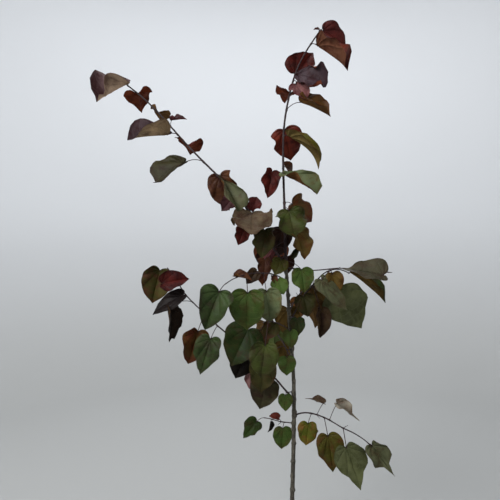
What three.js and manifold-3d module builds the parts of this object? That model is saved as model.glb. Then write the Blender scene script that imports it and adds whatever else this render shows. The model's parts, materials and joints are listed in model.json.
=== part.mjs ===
// A young redbud grown as a single stem in a plain nursery pot.
// Millimetres, +Z up. The origin is the middle of the pot's flat underside, +Y points to the back.
// Bearings are degrees round from +X (right) towards +Y (back), so 270 is the front.
// Leans are degrees from straight up: 90 is level and 180 hangs straight down.
import * as THREE from 'three';
import { mergeVertices } from 'three/addons/utils/BufferGeometryUtils.js';
import Module from 'manifold-3d';

const wasm = await Module();
wasm.setup();

// ---- driving sizes ----
const GAP = 0.3;                 // clear space between neighbouring pieces

const POT_HEIGHT = 235;
const POT_FOOT_RADIUS = 104;
const POT_BODY_RADIUS = 131;     // just under the rim
const POT_RIM_RADIUS = 140;
const POT_RIM_DEPTH = 26;
const POT_WALL = 2.6;
const POT_EDGE = 2;              // bevel where the foot and the rim turn
const POT_SIDES = 32;
const SOIL_TOP = 215;
const SOIL_SAG = 5;              // the compost is a little lower towards the wall
const SOIL_FLAT_RADIUS = 30;     // level ground round the stem

const FLARE_HEIGHT = 42;         // the stem widens over this height above the compost
const FLARE_SPREAD = 3.2;        // added to the stem's radius at the compost
const LIMB_STEP = 17;            // the limbs change direction over this length
const LIMB_KINK = 3;             // and swings this many degrees to either side of its bearing
const LIMB_FACETS = 0.5;         // straight faces along a limb for each of those steps

const NEARLY_ALIGNED = 0.97;      // cosine above which two directions count as the same

const STALK_RADIUS = 0.95;
const STALK_ROOT = 1.2;          // how far a stalk is sunk past the stem's axis
const STALK_SAG = 0.16;          // share of its length by which a stalk bends
const BLADE_THICKNESS = 1.4;
const BLADE_CREST = 0.34;        // where the blade is highest, as a share from stalk to tip
const BLADE_CURL = 0.08;         // how far the tip bends down, as a share of the blade

// Outline of the heart-shaped blade: radius from the crest by angle from the tip, as shares of its length
const HEART = [0.66, 0.49, 0.44, 0.455, 0.475, 0.49, 0.46, 0.335];
const OUTLINE_POINTS = 12;

// Leaves by rule, for shoots that list none. A pair is the least and the most of a size that varies
// by chance, or the values at the first and the last leaf
const RULE = {
  at: [0.22, 0.99],
  swing: [70, 25],               // how far a stalk turns from its shoot's bearing, to either side
  stalkLength: [30, 44],
  stalkLean: [95, 140],
  bladeTurn: 20,                 // how far the blade swings back from its stalk's bearing
  bladeLean: [145, 167],
  faceTurn: 25,
  faceLean: 60,
  fold: [10, 28],
};

// One leaf: its place along the shoot, [length, bearing, lean] of its stalk and of its blade's midrib,
// the [bearing, lean] that its upper side turns to, and how far each half is folded up. Where they are
// unusual: its breadth against a full heart, the curl of its tip, and the fold of its front half
function leaf(at, stalk, blade, face, fold, { breadth = 1, curl = BLADE_CURL, front = null } = {}) {
  return { at, stalk, blade, face, fold, breadth, curl, front };
}

// ---- the shoots ----
// Each shoot leaves its parent at a share of the parent's length, and keeps changing its lean and
// bearing evenly through the values listed. Its pieces are separate limbs or masses of foliage. Thick
// is its diameter at its base and its tip. Seeded is how many leaves it has by rule.
const SHOOTS = [
  {
    name: 'trunk', parent: null, length: 834, thick: [13.4, 8.4], sides: 12,
    lean: [-0.5, 0.3, 1.8, 1, -0.5, -5, -3.5, -3.5], bearing: [0],
    pieces: [['trunk', 0, 1]],
    leaves: [],
  },
  {
    name: 'leader', parent: 'trunk', from: 1, length: 694, thick: [7.8, 4.0], sides: 7, wine: true,
    lean: [-3, -1, -2, -1.5, 1, 10, 16, 30, 38], bearing: [8],
    pieces: [['leader_lower_foliage', 0, 0.34], ['leader_middle_foliage', 0.34, 0.6],
      ['leader_top_foliage', 0.6, 1]],
    leaves: [
      leaf(0.02, [46, 342, 118], [64, 300, 164], [275, 75], 14, { breadth: 1.1 }),
      leaf(0.03, [14, 335, 60], [46, 350, 42], [300, 80], 55, { breadth: 0.7 }),
      leaf(0.04, [24, 236, 112], [48, 228, 145], [262, 74], 6, { breadth: 1.15 }),
      leaf(0.07, [30, 175, 92], [64, 190, 150], [100, 80], 42, { breadth: 0.6 }),
      leaf(0.13, [76, 222, 84], [76, 240, 166], [262, 75], 20),
      leaf(0.15, [14, 110, 110], [80, 160, 158], [262, 80], 18),
      leaf(0.17, [36, 345, 122], [82, 333, 158], [300, 70], 28),
      leaf(0.235, [24, 296, 112], [80, 298, 160], [268, 72], 10, { breadth: 1.22 }),
      leaf(0.255, [24, 30, 95], [80, 12, 124], [285, 60], 16, { breadth: 1.25 }),
      leaf(0.37, [30, 195, 80], [76, 225, 164], [285, 75], 26, { breadth: 0.8 }),
      leaf(0.375, [10, 300, 118], [124, 347, 119], [272, 54], 8, { breadth: 0.78, curl: 0.08, front: 80 }),
      leaf(0.4, [10, 60, 80], [50, 50, 105], [300, 60], 30),
      leaf(0.525, [16, 335, 100], [130, 345, 118], [285, 25], 50, { breadth: 0.6, curl: 0.3 }),
      leaf(0.555, [12, 80, 95], [88, 40, 158], [262, 75], 14, { breadth: 1.15 }),
      leaf(0.632, [42, 350, 66], [96, 350, 112], [280, 25], 55, { curl: 0.14 }),
      leaf(0.69, [9, 60, 40], [96, 95, 80], [180, 3], 36),
      leaf(0.735, [10, 330, 95], [62, 320, 142], [272, 68], 12),
      leaf(0.755, [14, 40, 95], [48, 20, 140], [280, 60], 20),
      leaf(0.775, [9, 320, 95], [96, 340, 106], [275, 80], 14, { breadth: 0.95 }),
      leaf(0.82, [20, 150, 150], [88, 14, 40], [275, 70], 22, { breadth: 1.1, curl: 0.02 }),
      leaf(0.925, [22, 325, 118], [112, 350, 125], [280, 22], 22, { breadth: 1.15, front: 82 }),
      leaf(0.975, [34, 50, 55], [88, 12, 114], [272, 72], 24, { breadth: 0.95 }),
      leaf(0.995, [4, 170, 60], [16, 175, 80], [270, 20], 40),
      leaf(0.1, [74, 195, 130], [50, 262, 165], [270, 74], 20),
    ],
  },
  {
    name: 'left', parent: 'trunk', from: 0.998, length: 700, thick: [6.6, 3.8], sides: 7, wine: true,
    lean: [40, 34, 36, 46, 45, 41, 45, 54], bearing: [208, 197, 185, 176, 166, 165, 166, 168],
    pieces: [['left_bough', 0, 0.15], ['left_inner_foliage', 0.15, 0.5], ['left_tip_foliage', 0.5, 1]],
    leaves: [
      leaf(0.245, [14, 268, 62], [94, 268, 128], [268, 45], 8, { breadth: 1.35 }),
      leaf(0.265, [8, 60, 60], [52, 50, 35], [280, 60], 34),
      leaf(0.285, [52, 140, 172], [50, 200, 160], [290, 75], 20),
      leaf(0.345, [10, 150, 110], [50, 195, 140], [275, 75], 22),
      leaf(0.425, [12, 255, 80], [124, 330, 145], [282, 55], 8, { breadth: 0.6, front: 82 }),
      leaf(0.455, [14, 70, 85], [100, 335, 162], [262, 78], 15, { breadth: 0.9 }),
      leaf(0.532, [52, 190, 96], [114, 186, 120], [278, 52], 12, { breadth: 1.1, curl: 0.12, front: 48 }),
      leaf(0.63, [9, 95, 80], [98, 92, 88], [0, 10], 38),
      leaf(0.69, [34, 186, 92], [108, 182, 93], [278, 40], 10, { breadth: 1.1, front: 80 }),
      leaf(0.74, [16, 60, 20], [44, 10, 78], [300, 25], 42),
      leaf(0.82, [9, 85, 80], [70, 95, 92], [350, 20], 36),
      leaf(0.94, [8, 100, 85], [94, 98, 98], [180, 14], 34),
      leaf(0.995, [6, 150, 20], [114, 178, 118], [278, 70], 12, { breadth: 1.35, curl: 0.02, front: 108 }),
    ],
  },
  {
    name: 'lower left', parent: 'trunk', from: 0.552, length: 540, thick: [5.6, 3.2], sides: 6,
    lean: [46, 46, 51, 53, 53, 50, 49, 34, 44], bearing: [160, 158, 160, 163, 164, 165, 166, 160, 160],
    pieces: [['lower_left_bough', 0, 0.13], ['lower_left_inner_foliage', 0.13, 0.5],
      ['lower_left_tip_foliage', 0.5, 1]],
    leaves: [
      leaf(0.165, [20, 200, 130], [82, 208, 164], [272, 78], 14, { breadth: 1.1 }),
      leaf(0.235, [34, 272, 58], [86, 256, 166], [268, 72], 15),
      leaf(0.31, [44, 110, 168], [52, 250, 170], [75, 85], 28),
      leaf(0.32, [16, 150, 70], [84, 212, 158], [290, 75], 24),
      leaf(0.38, [56, 320, 22], [114, 212, 148], [268, 72], 14, { breadth: 1.1 }),
      leaf(0.56, [42, 206, 150], [110, 216, 161], [270, 72], 14, { breadth: 0.82 }),
      leaf(0.657, [56, 178, 158], [104, 195, 164], [295, 75], 30, { breadth: 0.9 }),
      leaf(0.755, [74, 182, 106], [100, 330, 170], [335, 80], 42, { breadth: 0.95 }),
      leaf(0.81, [9, 200, 100], [108, 187, 117], [272, 48], 16, { breadth: 0.6 }),
      leaf(0.9, [44, 200, 94], [84, 12, 78], [272, 68], 34, { breadth: 0.9 }),
      leaf(0.99, [26, 172, 98], [106, 192, 164], [278, 72], 28),
    ],
  },
  {
    name: 'left middle', parent: 'trunk', from: 0.945, length: 214, thick: [3.4, 2.4], sides: 6,
    lean: [54, 70, 85, 92, 106, 122], bearing: [222, 219, 212, 208],
    pieces: [['left_middle_foliage', 0, 1]],
    leaves: [
      leaf(0.25, [14, 330, 150], [44, 318, 150], [272, 68], 8, { breadth: 1.2 }),
      leaf(0.32, [9, 60, 130], [26, 330, 150], [300, 70], 36),
      leaf(0.45, [48, 330, 170], [86, 305, 168], [285, 75], 22),
      leaf(0.52, [10, 120, 70], [44, 190, 140], [290, 60], 36),
      leaf(0.7, [47, 300, 174], [99, 245, 172], [267, 76], 10, { breadth: 1.05 }),
      leaf(0.84, [10, 120, 80], [46, 352, 96], [280, 25], 40),
      leaf(1, [26, 196, 140], [106, 204, 155], [272, 70], 32, { breadth: 0.86 }),
    ],
  },
  {
    name: 'front', parent: 'trunk', from: 0.78, length: 132, thick: [3.0, 2.4], sides: 6,
    lean: [60, 66, 72, 80], bearing: [242, 238, 232],
    pieces: [['front_foliage', 0, 1]],
    leaves: [
      leaf(0.2, [12, 300, 110], [47, 285, 168], [270, 74], 10),
      leaf(0.62, [14, 140, 90], [52, 200, 150], [285, 65], 26),
      leaf(1, [60, 220, 170], [84, 236, 165], [270, 72], 14),
    ],
  },
  {
    name: 'right upper', parent: 'trunk', from: 0.995, length: 282, thick: [3.6, 2.2], sides: 6,
    lean: [94, 99, 86, 82, 93, 95, 96, 92], bearing: [350, 346],
    pieces: [['right_upper_foliage', 0, 1]],
    leaves: [
      leaf(0.07, [44, 20, 156], [42, 12, 84], [285, 55], 36, { breadth: 0.7 }),
      leaf(0.5, [54, 192, 124], [106, 338, 138], [268, 60], -30, { breadth: 0.64, front: 14 }),
      leaf(0.97, [16, 205, 116], [108, 172, 78], [280, 60], 8, { breadth: 0.84, front: 34 }),
      leaf(0.42, [16, 20, 140], [60, 350, 168], [275, 62], 20),
    ],
  },
  {
    name: 'right arching', parent: 'trunk', from: 0.815, length: 262, thick: [4.2, 3.0], sides: 6,
    lean: [38, 37, 32, 46, 46, 66, 96, 120], bearing: [28, 24, 20, 16],
    pieces: [['right_arching_bough', 0, 0.34], ['right_arching_foliage', 0.34, 1]],
    leaves: [
      leaf(0.38, [26, 240, 112], [60, 310, 160], [268, 74], 12, { breadth: 1.1 }),
      leaf(0.48, [72, 345, 163], [84, 320, 176], [295, 78], 46, { breadth: 0.8 }),
      leaf(0.72, [14, 320, 150], [62, 325, 152], [268, 70], 10),
      leaf(0.76, [72, 22, 160], [124, 343, 145], [266, 72], 14, { breadth: 1.2 }),
      leaf(0.995, [10, 350, 98], [128, 349, 127], [282, 45], 34, { breadth: 0.95, front: 78 }),
    ],
  },
  {
    name: 'right spur', parent: 'trunk', from: 0.826, length: 26, thick: [2.8, 2.2], sides: 6,
    lean: [75], bearing: [300],
    pieces: [['right_spur_foliage', 0, 1]],
    leaves: [
      leaf(0.85, [10, 325, 112], [46, 292, 166], [264, 74], 12),
    ],
  },
  {
    name: 'left spur', parent: 'trunk', from: 0.72, length: 30, thick: [2.8, 2.2], sides: 6,
    lean: [80], bearing: [235],
    pieces: [['left_spur_foliage', 0, 1]],
    leaves: [
      leaf(0.8, [20, 250, 160], [50, 278, 172], [268, 76], 8, { breadth: 1.1 }),
    ],
  },
  {
    name: 'low spur', parent: 'trunk', from: 0.578, length: 26, thick: [2.8, 2.2], sides: 6,
    lean: [84], bearing: [212],
    pieces: [['low_spur_foliage', 0, 1]],
    leaves: [
      leaf(0.95, [8, 230, 130], [44, 262, 170], [268, 78], 10),
    ],
  },
  {
    name: 'lower right', parent: 'trunk', from: 0.498, length: 222, thick: [4.2, 2.8], sides: 6,
    lean: [56, 78, 98, 112, 116, 110, 117, 132], bearing: [330, 338, 342, 344, 345, 346],
    pieces: [['lower_right_bough', 0, 0.21], ['lower_right_foliage', 0.21, 1]],
    leaves: [
      leaf(0.24, [27, 192, 160], [62, 245, 172], [268, 76], 10),
      leaf(0.31, [34, 18, 34], [54, 172, 72], [280, 20], 30, { breadth: 0.75 }),
      leaf(0.4, [48, 335, 168], [98, 320, 167], [266, 74], 18, { breadth: 0.85 }),
      leaf(0.47, [48, 355, 24], [76, 346, 122], [285, 40], 46, { breadth: 0.68 }),
      leaf(0.65, [50, 330, 170], [112, 322, 155], [264, 72], 26, { breadth: 0.86 }),
      leaf(0.99, [8, 340, 118], [96, 338, 141], [262, 68], 32, { breadth: 0.76 }),
    ],
  },
  {
    name: 'lower left twig', parent: 'trunk', from: 0.472, length: 92, thick: [3.0, 2.2], sides: 6,
    lean: [92, 95, 86, 92], bearing: [150, 152],
    pieces: [['lower_left_twig_foliage', 0, 1]],
    leaves: [
      leaf(0.32, [20, 120, 160], [60, 265, 174], [270, 80], 10),
      leaf(0.42, [10, 150, 40], [30, 165, 80], [280, 40], 36),
      leaf(0.75, [8, 200, 150], [30, 220, 170], [330, 80], 40),
      leaf(1, [24, 192, 112], [62, 196, 135], [262, 66], 26, { breadth: 0.95 }),
    ],
  },
  {
    name: 'back upper', parent: 'trunk', from: 0.96, length: 270, thick: [3.8, 2.4], sides: 6,
    lean: [42, 50, 62, 78, 96], bearing: [108, 100, 96],
    pieces: [['back_upper_foliage', 0, 1]],
    leaves: [], seeded: 7, bladeSizes: [50, 78],
  },
  {
    name: 'back right', parent: 'trunk', from: 0.84, length: 235, thick: [3.6, 2.4], sides: 6,
    lean: [55, 66, 80, 96], bearing: [66, 60, 58],
    pieces: [['back_right_foliage', 0, 1]],
    leaves: [], seeded: 6, bladeSizes: [60, 90],
  },
  {
    name: 'back lower', parent: 'trunk', from: 0.68, length: 265, thick: [3.8, 2.4], sides: 6,
    lean: [52, 62, 72, 88, 100], bearing: [112, 108, 104],
    pieces: [['back_lower_foliage', 0, 1]],
    leaves: [], seeded: 6, bladeSizes: [60, 92],
  },
];

// ---- numbers that vary by seed ----
function seededRandom(seed) {
  let state = seed;
  return () => {
    state = (state * 16807) % 2147483647;
    return state / 2147483647;
  };
}

function seedFromName(name) {
  let seed = 7;
  for (const letter of name) {
    seed = (seed * 31 + letter.charCodeAt(0)) % 2147483647;
  }
  return seed;
}

function between(pair, share) {
  return pair[0] + (pair[1] - pair[0]) * share;
}

// The value at a share of the way through a list of evenly spaced values
function valueAlong(values, share) {
  if (values.length === 1) {
    return values[0];
  }
  const place = Math.min(Math.max(share, 0), 1) * (values.length - 1);
  const index = Math.min(Math.floor(place), values.length - 2);
  return between([values[index], values[index + 1]], place - index);
}

function heading(bearing, lean) {
  const b = THREE.MathUtils.degToRad(bearing);
  const l = THREE.MathUtils.degToRad(lean);
  return new THREE.Vector3(Math.sin(l) * Math.cos(b), Math.sin(l) * Math.sin(b), Math.cos(l));
}

// ---- limbs ----
// The centre line as points one step apart, so that any share of the shoot can be looked up
function centreLine(start, shoot) {
  const count = Math.round(shoot.length / LIMB_STEP);
  const points = [start.clone()];
  for (let i = 0; i < count; i += 1) {
    const share = (i + 0.5) / count;
    const kink = i % 4 < 2 ? LIMB_KINK : -LIMB_KINK;
    const bearing = valueAlong(shoot.bearing, share) + (count > 4 ? kink : 0);
    const step = heading(bearing, valueAlong(shoot.lean, share));
    points.push(points[i].clone().addScaledVector(step, shoot.length / count));
  }
  return points;
}

// The point at a share of a centre line, which runs straight on past its ends
function pointAlong(points, share) {
  const place = share * (points.length - 1);
  const index = Math.min(Math.max(Math.floor(place), 0), points.length - 2);
  return points[index].clone().lerp(points[index + 1], place - index);
}

function directionAlong(points, share) {
  const halfStep = 0.5 / (points.length - 1);
  return pointAlong(points, share + halfStep).sub(pointAlong(points, share - halfStep)).normalize();
}

// A closed cylinder bent along a centre line, with a radius that changes along it
function bentCylinder(points, from, to, sides, steps, radiusAt) {
  const geometry = new THREE.CylinderGeometry(1, 1, 1, sides, steps);
  const position = geometry.getAttribute('position');
  for (let i = 0; i < position.count; i += 1) {
    const share = from + (to - from) * (position.getY(i) + 0.5);
    const along = directionAlong(points, share);
    const side = new THREE.Vector3(0, 1, 0);
    if (Math.abs(along.y) > NEARLY_ALIGNED) {
      side.set(1, 0, 0);
    }
    side.addScaledVector(along, -side.dot(along)).normalize();
    const other = new THREE.Vector3().crossVectors(side, along);
    const radius = radiusAt(share);
    const place = pointAlong(points, share)
      .addScaledVector(side, position.getX(i) * radius)
      .addScaledVector(other, position.getZ(i) * radius);
    position.setXYZ(i, place.x, place.y, place.z);
  }
  return geometry;
}

function limbRadius(shoot, share) {
  const radius = between(shoot.thick, share) / 2;
  if (shoot.name !== 'trunk') {
    return radius;
  }
  const height = share * shoot.length;
  return radius + FLARE_SPREAD * Math.max(0, 1 - height / FLARE_HEIGHT) ** 2;
}

// ---- leaves ----
// A thin round plate drawn out to a heart, each half folded up by its own angle, curled down at the tip
function bladeGeometry(length, folds, breadth, curl) {
  const half = BLADE_THICKNESS / 2;
  const geometry = new THREE.CylinderGeometry(1, 1, 2 * half, OUTLINE_POINTS);
  const position = geometry.getAttribute('position');
  for (let i = 0; i < position.count; i += 1) {
    const x = position.getX(i);
    const z = position.getZ(i);
    const ring = Math.hypot(x, z);
    const angle = ring > 0 ? Math.atan2(x, z) : 0;
    const radius = ring * valueAlong(HEART, Math.abs(angle) / Math.PI) * length;
    const along = BLADE_CREST * length + radius * Math.cos(angle);
    const across = radius * Math.sin(angle) * breadth;
    const bend = -curl * length * Math.max(0, along / length) ** 2;
    const fold = THREE.MathUtils.degToRad(across > 0 ? folds[0] : folds[1]);
    position.setXYZ(i, along, across * Math.cos(fold),
      position.getY(i) + Math.abs(across) * Math.sin(fold) + bend);
  }
  return geometry;
}

// The blade's own axes: along its midrib, across it and out of its upper side
function bladeAxes(midrib, face) {
  const upper = face.clone().addScaledVector(midrib, -face.dot(midrib)).normalize();
  return [midrib, new THREE.Vector3().crossVectors(upper, midrib), upper];
}

function growLeaf(shoot, points, entry, random) {
  const root = pointAlong(points, entry.at);
  const [stalkLength, stalkBearing, stalkLean] = entry.stalk;
  const [bladeLength, bladeBearing, bladeLean] = entry.blade;
  const stalkHeading = heading(stalkBearing, stalkLean);
  const reach = limbRadius(shoot, entry.at) + stalkLength;
  const tip = root.clone().addScaledVector(stalkHeading, reach);
  const middle = root.clone().lerp(tip, 0.5);
  middle.z += STALK_SAG * stalkLength * Math.sin(THREE.MathUtils.degToRad(stalkLean));
  const midrib = heading(bladeBearing, bladeLean);
  const sunk = root.clone().addScaledVector(stalkHeading, -STALK_ROOT);
  const end = tip.clone().addScaledVector(midrib, STALK_RADIUS * 2);
  const stalk = bentCylinder([sunk, middle, end], 0, 1, 3, 2, () => STALK_RADIUS);
  const curl = entry.curl * (0.8 + 0.4 * random());
  const fold = entry.fold * (0.92 + 0.16 * random());
  const front = entry.front ?? fold;
  const axes = bladeAxes(midrib, heading(...entry.face));
  const folds = axes[1].y < 0 ? [front, fold] : [fold, front];
  const blade = bladeGeometry(bladeLength, folds, entry.breadth, curl);
  blade.applyMatrix4(new THREE.Matrix4().makeBasis(...axes).setPosition(tip));
  return solidFrom(stalk).add(solidFrom(blade));
}

// Leaves by rule: on alternate sides of the shoot, hanging and turned outwards
function seededLeaves(shoot, random) {
  const leaves = [];
  for (let i = 0; i < shoot.seeded; i += 1) {
    const at = between(RULE.at, i / (shoot.seeded - 1));
    const out = valueAlong(shoot.bearing, at);
    const side = i % 2 === 0 ? 1 : -1;
    const stalkBearing = out + side * between(RULE.swing, at);
    const bladeLength = between(shoot.bladeSizes, random());
    const stalk = [between(RULE.stalkLength, random()), stalkBearing, between(RULE.stalkLean, random())];
    const blade = [bladeLength, stalkBearing - side * RULE.bladeTurn, between(RULE.bladeLean, random())];
    const face = [out + side * RULE.faceTurn, RULE.faceLean];
    leaves.push(leaf(at, stalk, blade, face, between(RULE.fold, random())));
  }
  return leaves;
}

// ---- joining and cutting ----
const MERGE_DISTANCE = 1e-4;
const LEAST_OVERLAP = 1e-4;      // cubic millimetres

function solidFrom(geometry) {
  const bare = geometry.clone();
  bare.deleteAttribute('normal');
  bare.deleteAttribute('uv');
  const merged = mergeVertices(bare, MERGE_DISTANCE);
  const index = merged.getIndex().array;
  const triangles = [];
  for (let i = 0; i < index.length; i += 3) {
    const [a, b, c] = [index[i], index[i + 1], index[i + 2]];
    if (a !== b && b !== c && a !== c) {
      triangles.push(a, b, c);
    }
  }
  const mesh = new wasm.Mesh({
    numProp: 3,
    vertProperties: new Float32Array(merged.getAttribute('position').array),
    triVerts: new Uint32Array(triangles),
  });
  return new wasm.Manifold(mesh);
}

function geometryFrom(solid) {
  const mesh = solid.getMesh();
  const geometry = new THREE.BufferGeometry();
  geometry.setAttribute('position', new THREE.BufferAttribute(mesh.vertProperties, 3));
  geometry.setIndex(new THREE.BufferAttribute(mesh.triVerts, 1));
  geometry.computeVertexNormals();
  return geometry;
}

// Keeps the largest body and fills any sealed hollow inside it
function soundBody(solid) {
  const bodies = solid.decompose();
  const volumes = bodies.map((body) => body.volume());
  let sound = bodies[volumes.indexOf(Math.max(...volumes))];
  for (const body of bodies) {
    if (body.volume() < 0) {
      sound = sound.subtract(body);
    }
  }
  return sound;
}

function touches(solid, others) {
  return others.some((other) => solid.intersect(other).volume() > LEAST_OVERLAP);
}

// ---- materials ----
function material(colour, roughness) {
  return new THREE.MeshStandardMaterial({ color: colour, roughness, metalness: 0 });
}

const MATERIALS = {
  pot: () => material(0x1d1d1f, 0.55),
  compost: () => material(0x2c211a, 1.0),
  bark: () => material(0x4a4038, 0.85),
  wineFoliage: () => material(0x5a2a2c, 0.6),
  greenFoliage: () => material(0x47562e, 0.6),
};

function named(name, geometry, surface) {
  const mesh = new THREE.Mesh(geometry, surface);
  mesh.name = name;
  return mesh;
}

// ---- pot and compost ----
function turned(name, profile, surface) {
  const points = profile.map(([radius, height]) => new THREE.Vector2(radius, height));
  const geometry = new THREE.LatheGeometry(points, POT_SIDES).rotateX(Math.PI / 2);
  return named(name, geometryFrom(solidFrom(geometry)), surface);
}

function potMesh() {
  const rimFoot = POT_HEIGHT - POT_RIM_DEPTH;
  return turned('pot', [
    [0, 0],
    [POT_FOOT_RADIUS - 2 * POT_EDGE, 0],
    [POT_FOOT_RADIUS, 2 * POT_EDGE],
    [POT_BODY_RADIUS, rimFoot],
    [POT_RIM_RADIUS - POT_EDGE, rimFoot],
    [POT_RIM_RADIUS, POT_HEIGHT - POT_EDGE],
    [POT_RIM_RADIUS - POT_EDGE, POT_HEIGHT],
    [POT_RIM_RADIUS - POT_EDGE - POT_WALL, POT_HEIGHT - POT_EDGE],
    [POT_BODY_RADIUS - POT_WALL, rimFoot - POT_WALL],
    [POT_FOOT_RADIUS - POT_WALL, POT_WALL],
    [0, POT_WALL],
  ], MATERIALS.pot());
}

function compostMesh() {
  const bottom = POT_WALL + GAP;
  const brim = POT_HEIGHT - POT_RIM_DEPTH - POT_WALL;
  const room = GAP + POT_WALL;
  return turned('compost', [
    [0, bottom],
    [POT_FOOT_RADIUS - room, bottom],
    [POT_BODY_RADIUS - room, brim],
    [POT_BODY_RADIUS - room, SOIL_TOP - SOIL_SAG],
    [(POT_BODY_RADIUS + SOIL_FLAT_RADIUS) / 2, SOIL_TOP - SOIL_SAG / 3],
    [SOIL_FLAT_RADIUS, SOIL_TOP],
    [0, SOIL_TOP],
  ], MATERIALS.compost());
}

// ---- the tree ----
const STEMS = ['trunk', 'leader'];

const lines = new Map();
for (const shoot of SHOOTS) {
  const parent = lines.get(shoot.parent);
  const start = parent ? pointAlong(parent, shoot.from) : new THREE.Vector3();
  if (shoot.from === 1) {
    start.addScaledVector(directionAlong(parent, 1), GAP);
  }
  lines.set(shoot.name, centreLine(start, shoot));
}

// One stretch of a shoot, half a gap short of its neighbours, or with room round it on all sides
function limbSolid(shoot, from, to, room = 0) {
  const points = lines.get(shoot.name);
  const start = from + ((from > 0 ? GAP / 2 : 0) - room) / shoot.length;
  const end = to - ((to < 1 ? GAP / 2 : 0) - room) / shoot.length;
  const steps = Math.max(1, Math.round((to - from) * (points.length - 1) * LIMB_FACETS));
  const radiusAt = (share) => limbRadius(shoot, share) + room;
  return solidFrom(bentCylinder(points, start, end, shoot.sides, steps, radiusAt));
}

// Every piece of every shoot, its bare limb first, cut clear of the stems that it grows from
const stemsWithRoom = SHOOTS.filter((shoot) => STEMS.includes(shoot.name))
  .map((shoot) => limbSolid(shoot, 0, 1, GAP));
const pieces = [];
for (const shoot of SHOOTS) {
  for (const [name, from, to] of shoot.pieces) {
    let limb = limbSolid(shoot, from, to);
    if (from === 0 && !STEMS.includes(shoot.name)) {
      limb = soundBody(stemsWithRoom.reduce((rest, stem) => rest.subtract(stem), limb));
    }
    pieces.push({ name, shoot, from, to, solid: limb });
  }
}

// Leaves grow on each piece in turn, and one that would touch another piece is left out
for (const piece of pieces) {
  const { name, shoot, from, to } = piece;
  const random = seededRandom(seedFromName(name));
  const leaves = shoot.seeded ? seededLeaves(shoot, random) : shoot.leaves;
  const others = pieces.filter((other) => other !== piece);
  for (const entry of leaves.filter(({ at }) => at > from && (at < to || to === 1))) {
    const grown = growLeaf(shoot, lines.get(shoot.name), entry, random);
    if (!touches(grown, others.map((other) => other.solid))) {
      piece.solid = piece.solid.add(grown);
    }
  }
}

const plant = new THREE.Group();
plant.position.set(0, 0, SOIL_TOP + GAP);
for (const { name, shoot, solid } of pieces) {
  const isWood = name === 'trunk' || name.endsWith('_bough');
  const foliage = shoot.wine ? MATERIALS.wineFoliage : MATERIALS.greenFoliage;
  const surface = isWood ? MATERIALS.bark() : foliage();
  plant.add(named(name, geometryFrom(soundBody(solid)), surface));
}

const pottedRedbud = new THREE.Group();
pottedRedbud.add(potMesh(), compostMesh(), plant);

export default pottedRedbud;
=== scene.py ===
import json
import math
import bpy
import numpy as np
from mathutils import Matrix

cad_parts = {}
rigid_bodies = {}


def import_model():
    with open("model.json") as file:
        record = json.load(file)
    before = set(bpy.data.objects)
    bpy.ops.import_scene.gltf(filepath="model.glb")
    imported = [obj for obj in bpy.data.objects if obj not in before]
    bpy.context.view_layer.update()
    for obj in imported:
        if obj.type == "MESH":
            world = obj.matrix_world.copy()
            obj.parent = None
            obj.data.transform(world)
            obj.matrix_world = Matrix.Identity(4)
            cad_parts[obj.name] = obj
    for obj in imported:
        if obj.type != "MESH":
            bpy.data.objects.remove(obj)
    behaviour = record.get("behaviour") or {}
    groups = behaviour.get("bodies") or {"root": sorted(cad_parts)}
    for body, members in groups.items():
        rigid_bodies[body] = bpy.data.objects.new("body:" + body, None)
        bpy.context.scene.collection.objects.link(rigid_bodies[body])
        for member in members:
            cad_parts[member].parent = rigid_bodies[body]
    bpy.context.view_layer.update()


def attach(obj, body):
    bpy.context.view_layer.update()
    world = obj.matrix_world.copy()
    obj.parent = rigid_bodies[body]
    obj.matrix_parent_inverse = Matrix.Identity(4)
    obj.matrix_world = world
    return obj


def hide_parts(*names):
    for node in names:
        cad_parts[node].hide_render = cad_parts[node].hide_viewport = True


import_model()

# A young redbud in its nursery pot. Metres, +Z up, the pot stands on z = 0 and the back is +Y.
# Tables of shapes are in millimetres and degrees, and mm turns them into metres. The studio's table and the
# finishes are in metres, with tones from 0 to 255.
# Bearings go round from +X (right) towards +Y (back). A lean of 0 is straight up, 90 is level.
mm = 0.001


def colour(red, green, blue):
    def linear(value):
        share = value / 255
        return share / 12.92 if share <= 0.04045 else ((share + 0.055) / 1.055) ** 2.4
    return (linear(red), linear(green), linear(blue), 1.0)


def shaded(tone, share, lift=0):
    return colour(*[min(255, value * share + lift) for value in tone])


# ---- numbers that vary by seed ----

seedRule = {"first": 7, "perLetter": 31, "factor": 16807, "limit": 2147483647}


# Draws numbers from 0 to 1, the same ones each time for the same name
def drawsFor(name):
    state = seedRule["first"]
    for letter in name:
        state = (state * seedRule["perLetter"] + ord(letter)) % seedRule["limit"]

    def draw():
        nonlocal state
        state = state * seedRule["factor"] % seedRule["limit"]
        return state / seedRule["limit"]
    return draw


def between(pair, share):
    return pair[0] + (pair[1] - pair[0]) * share


# From the first number up to the sum of the two
def vary(pair, share):
    return pair[0] + pair[1] * share


def valueAlong(values, share):
    return float(np.interp(share, np.linspace(0, 1, len(values)), values)) if len(values) > 1 else values[0]


def heading(bearing, lean):
    b, l = math.radians(bearing), math.radians(lean)
    return np.array([math.sin(l) * math.cos(b), math.sin(l) * math.sin(b), math.cos(l)])


def unit(vector):
    return vector / np.linalg.norm(vector)


# ---- making meshes ----

def newHeap(*traits):
    return {"points": [], "quads": [], "triangles": [], "count": 0, "traits": {t: [] for t in traits}}


# Faces are lists of corners, and where the piece has a bake map each corner also has its place there
def addFaces(heap, kind, corners, slot, places=None):
    corners = np.asarray(corners, int)
    heap[kind].append((corners + heap["count"], np.full(len(corners), slot), places))


def addPoints(heap, points, **traits):
    heap["points"].append(np.asarray(points, float).reshape(-1, 3))
    for name, values in traits.items():
        heap["traits"][name].append(np.asarray(values, float))
    heap["count"] += len(heap["points"][-1])


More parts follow.
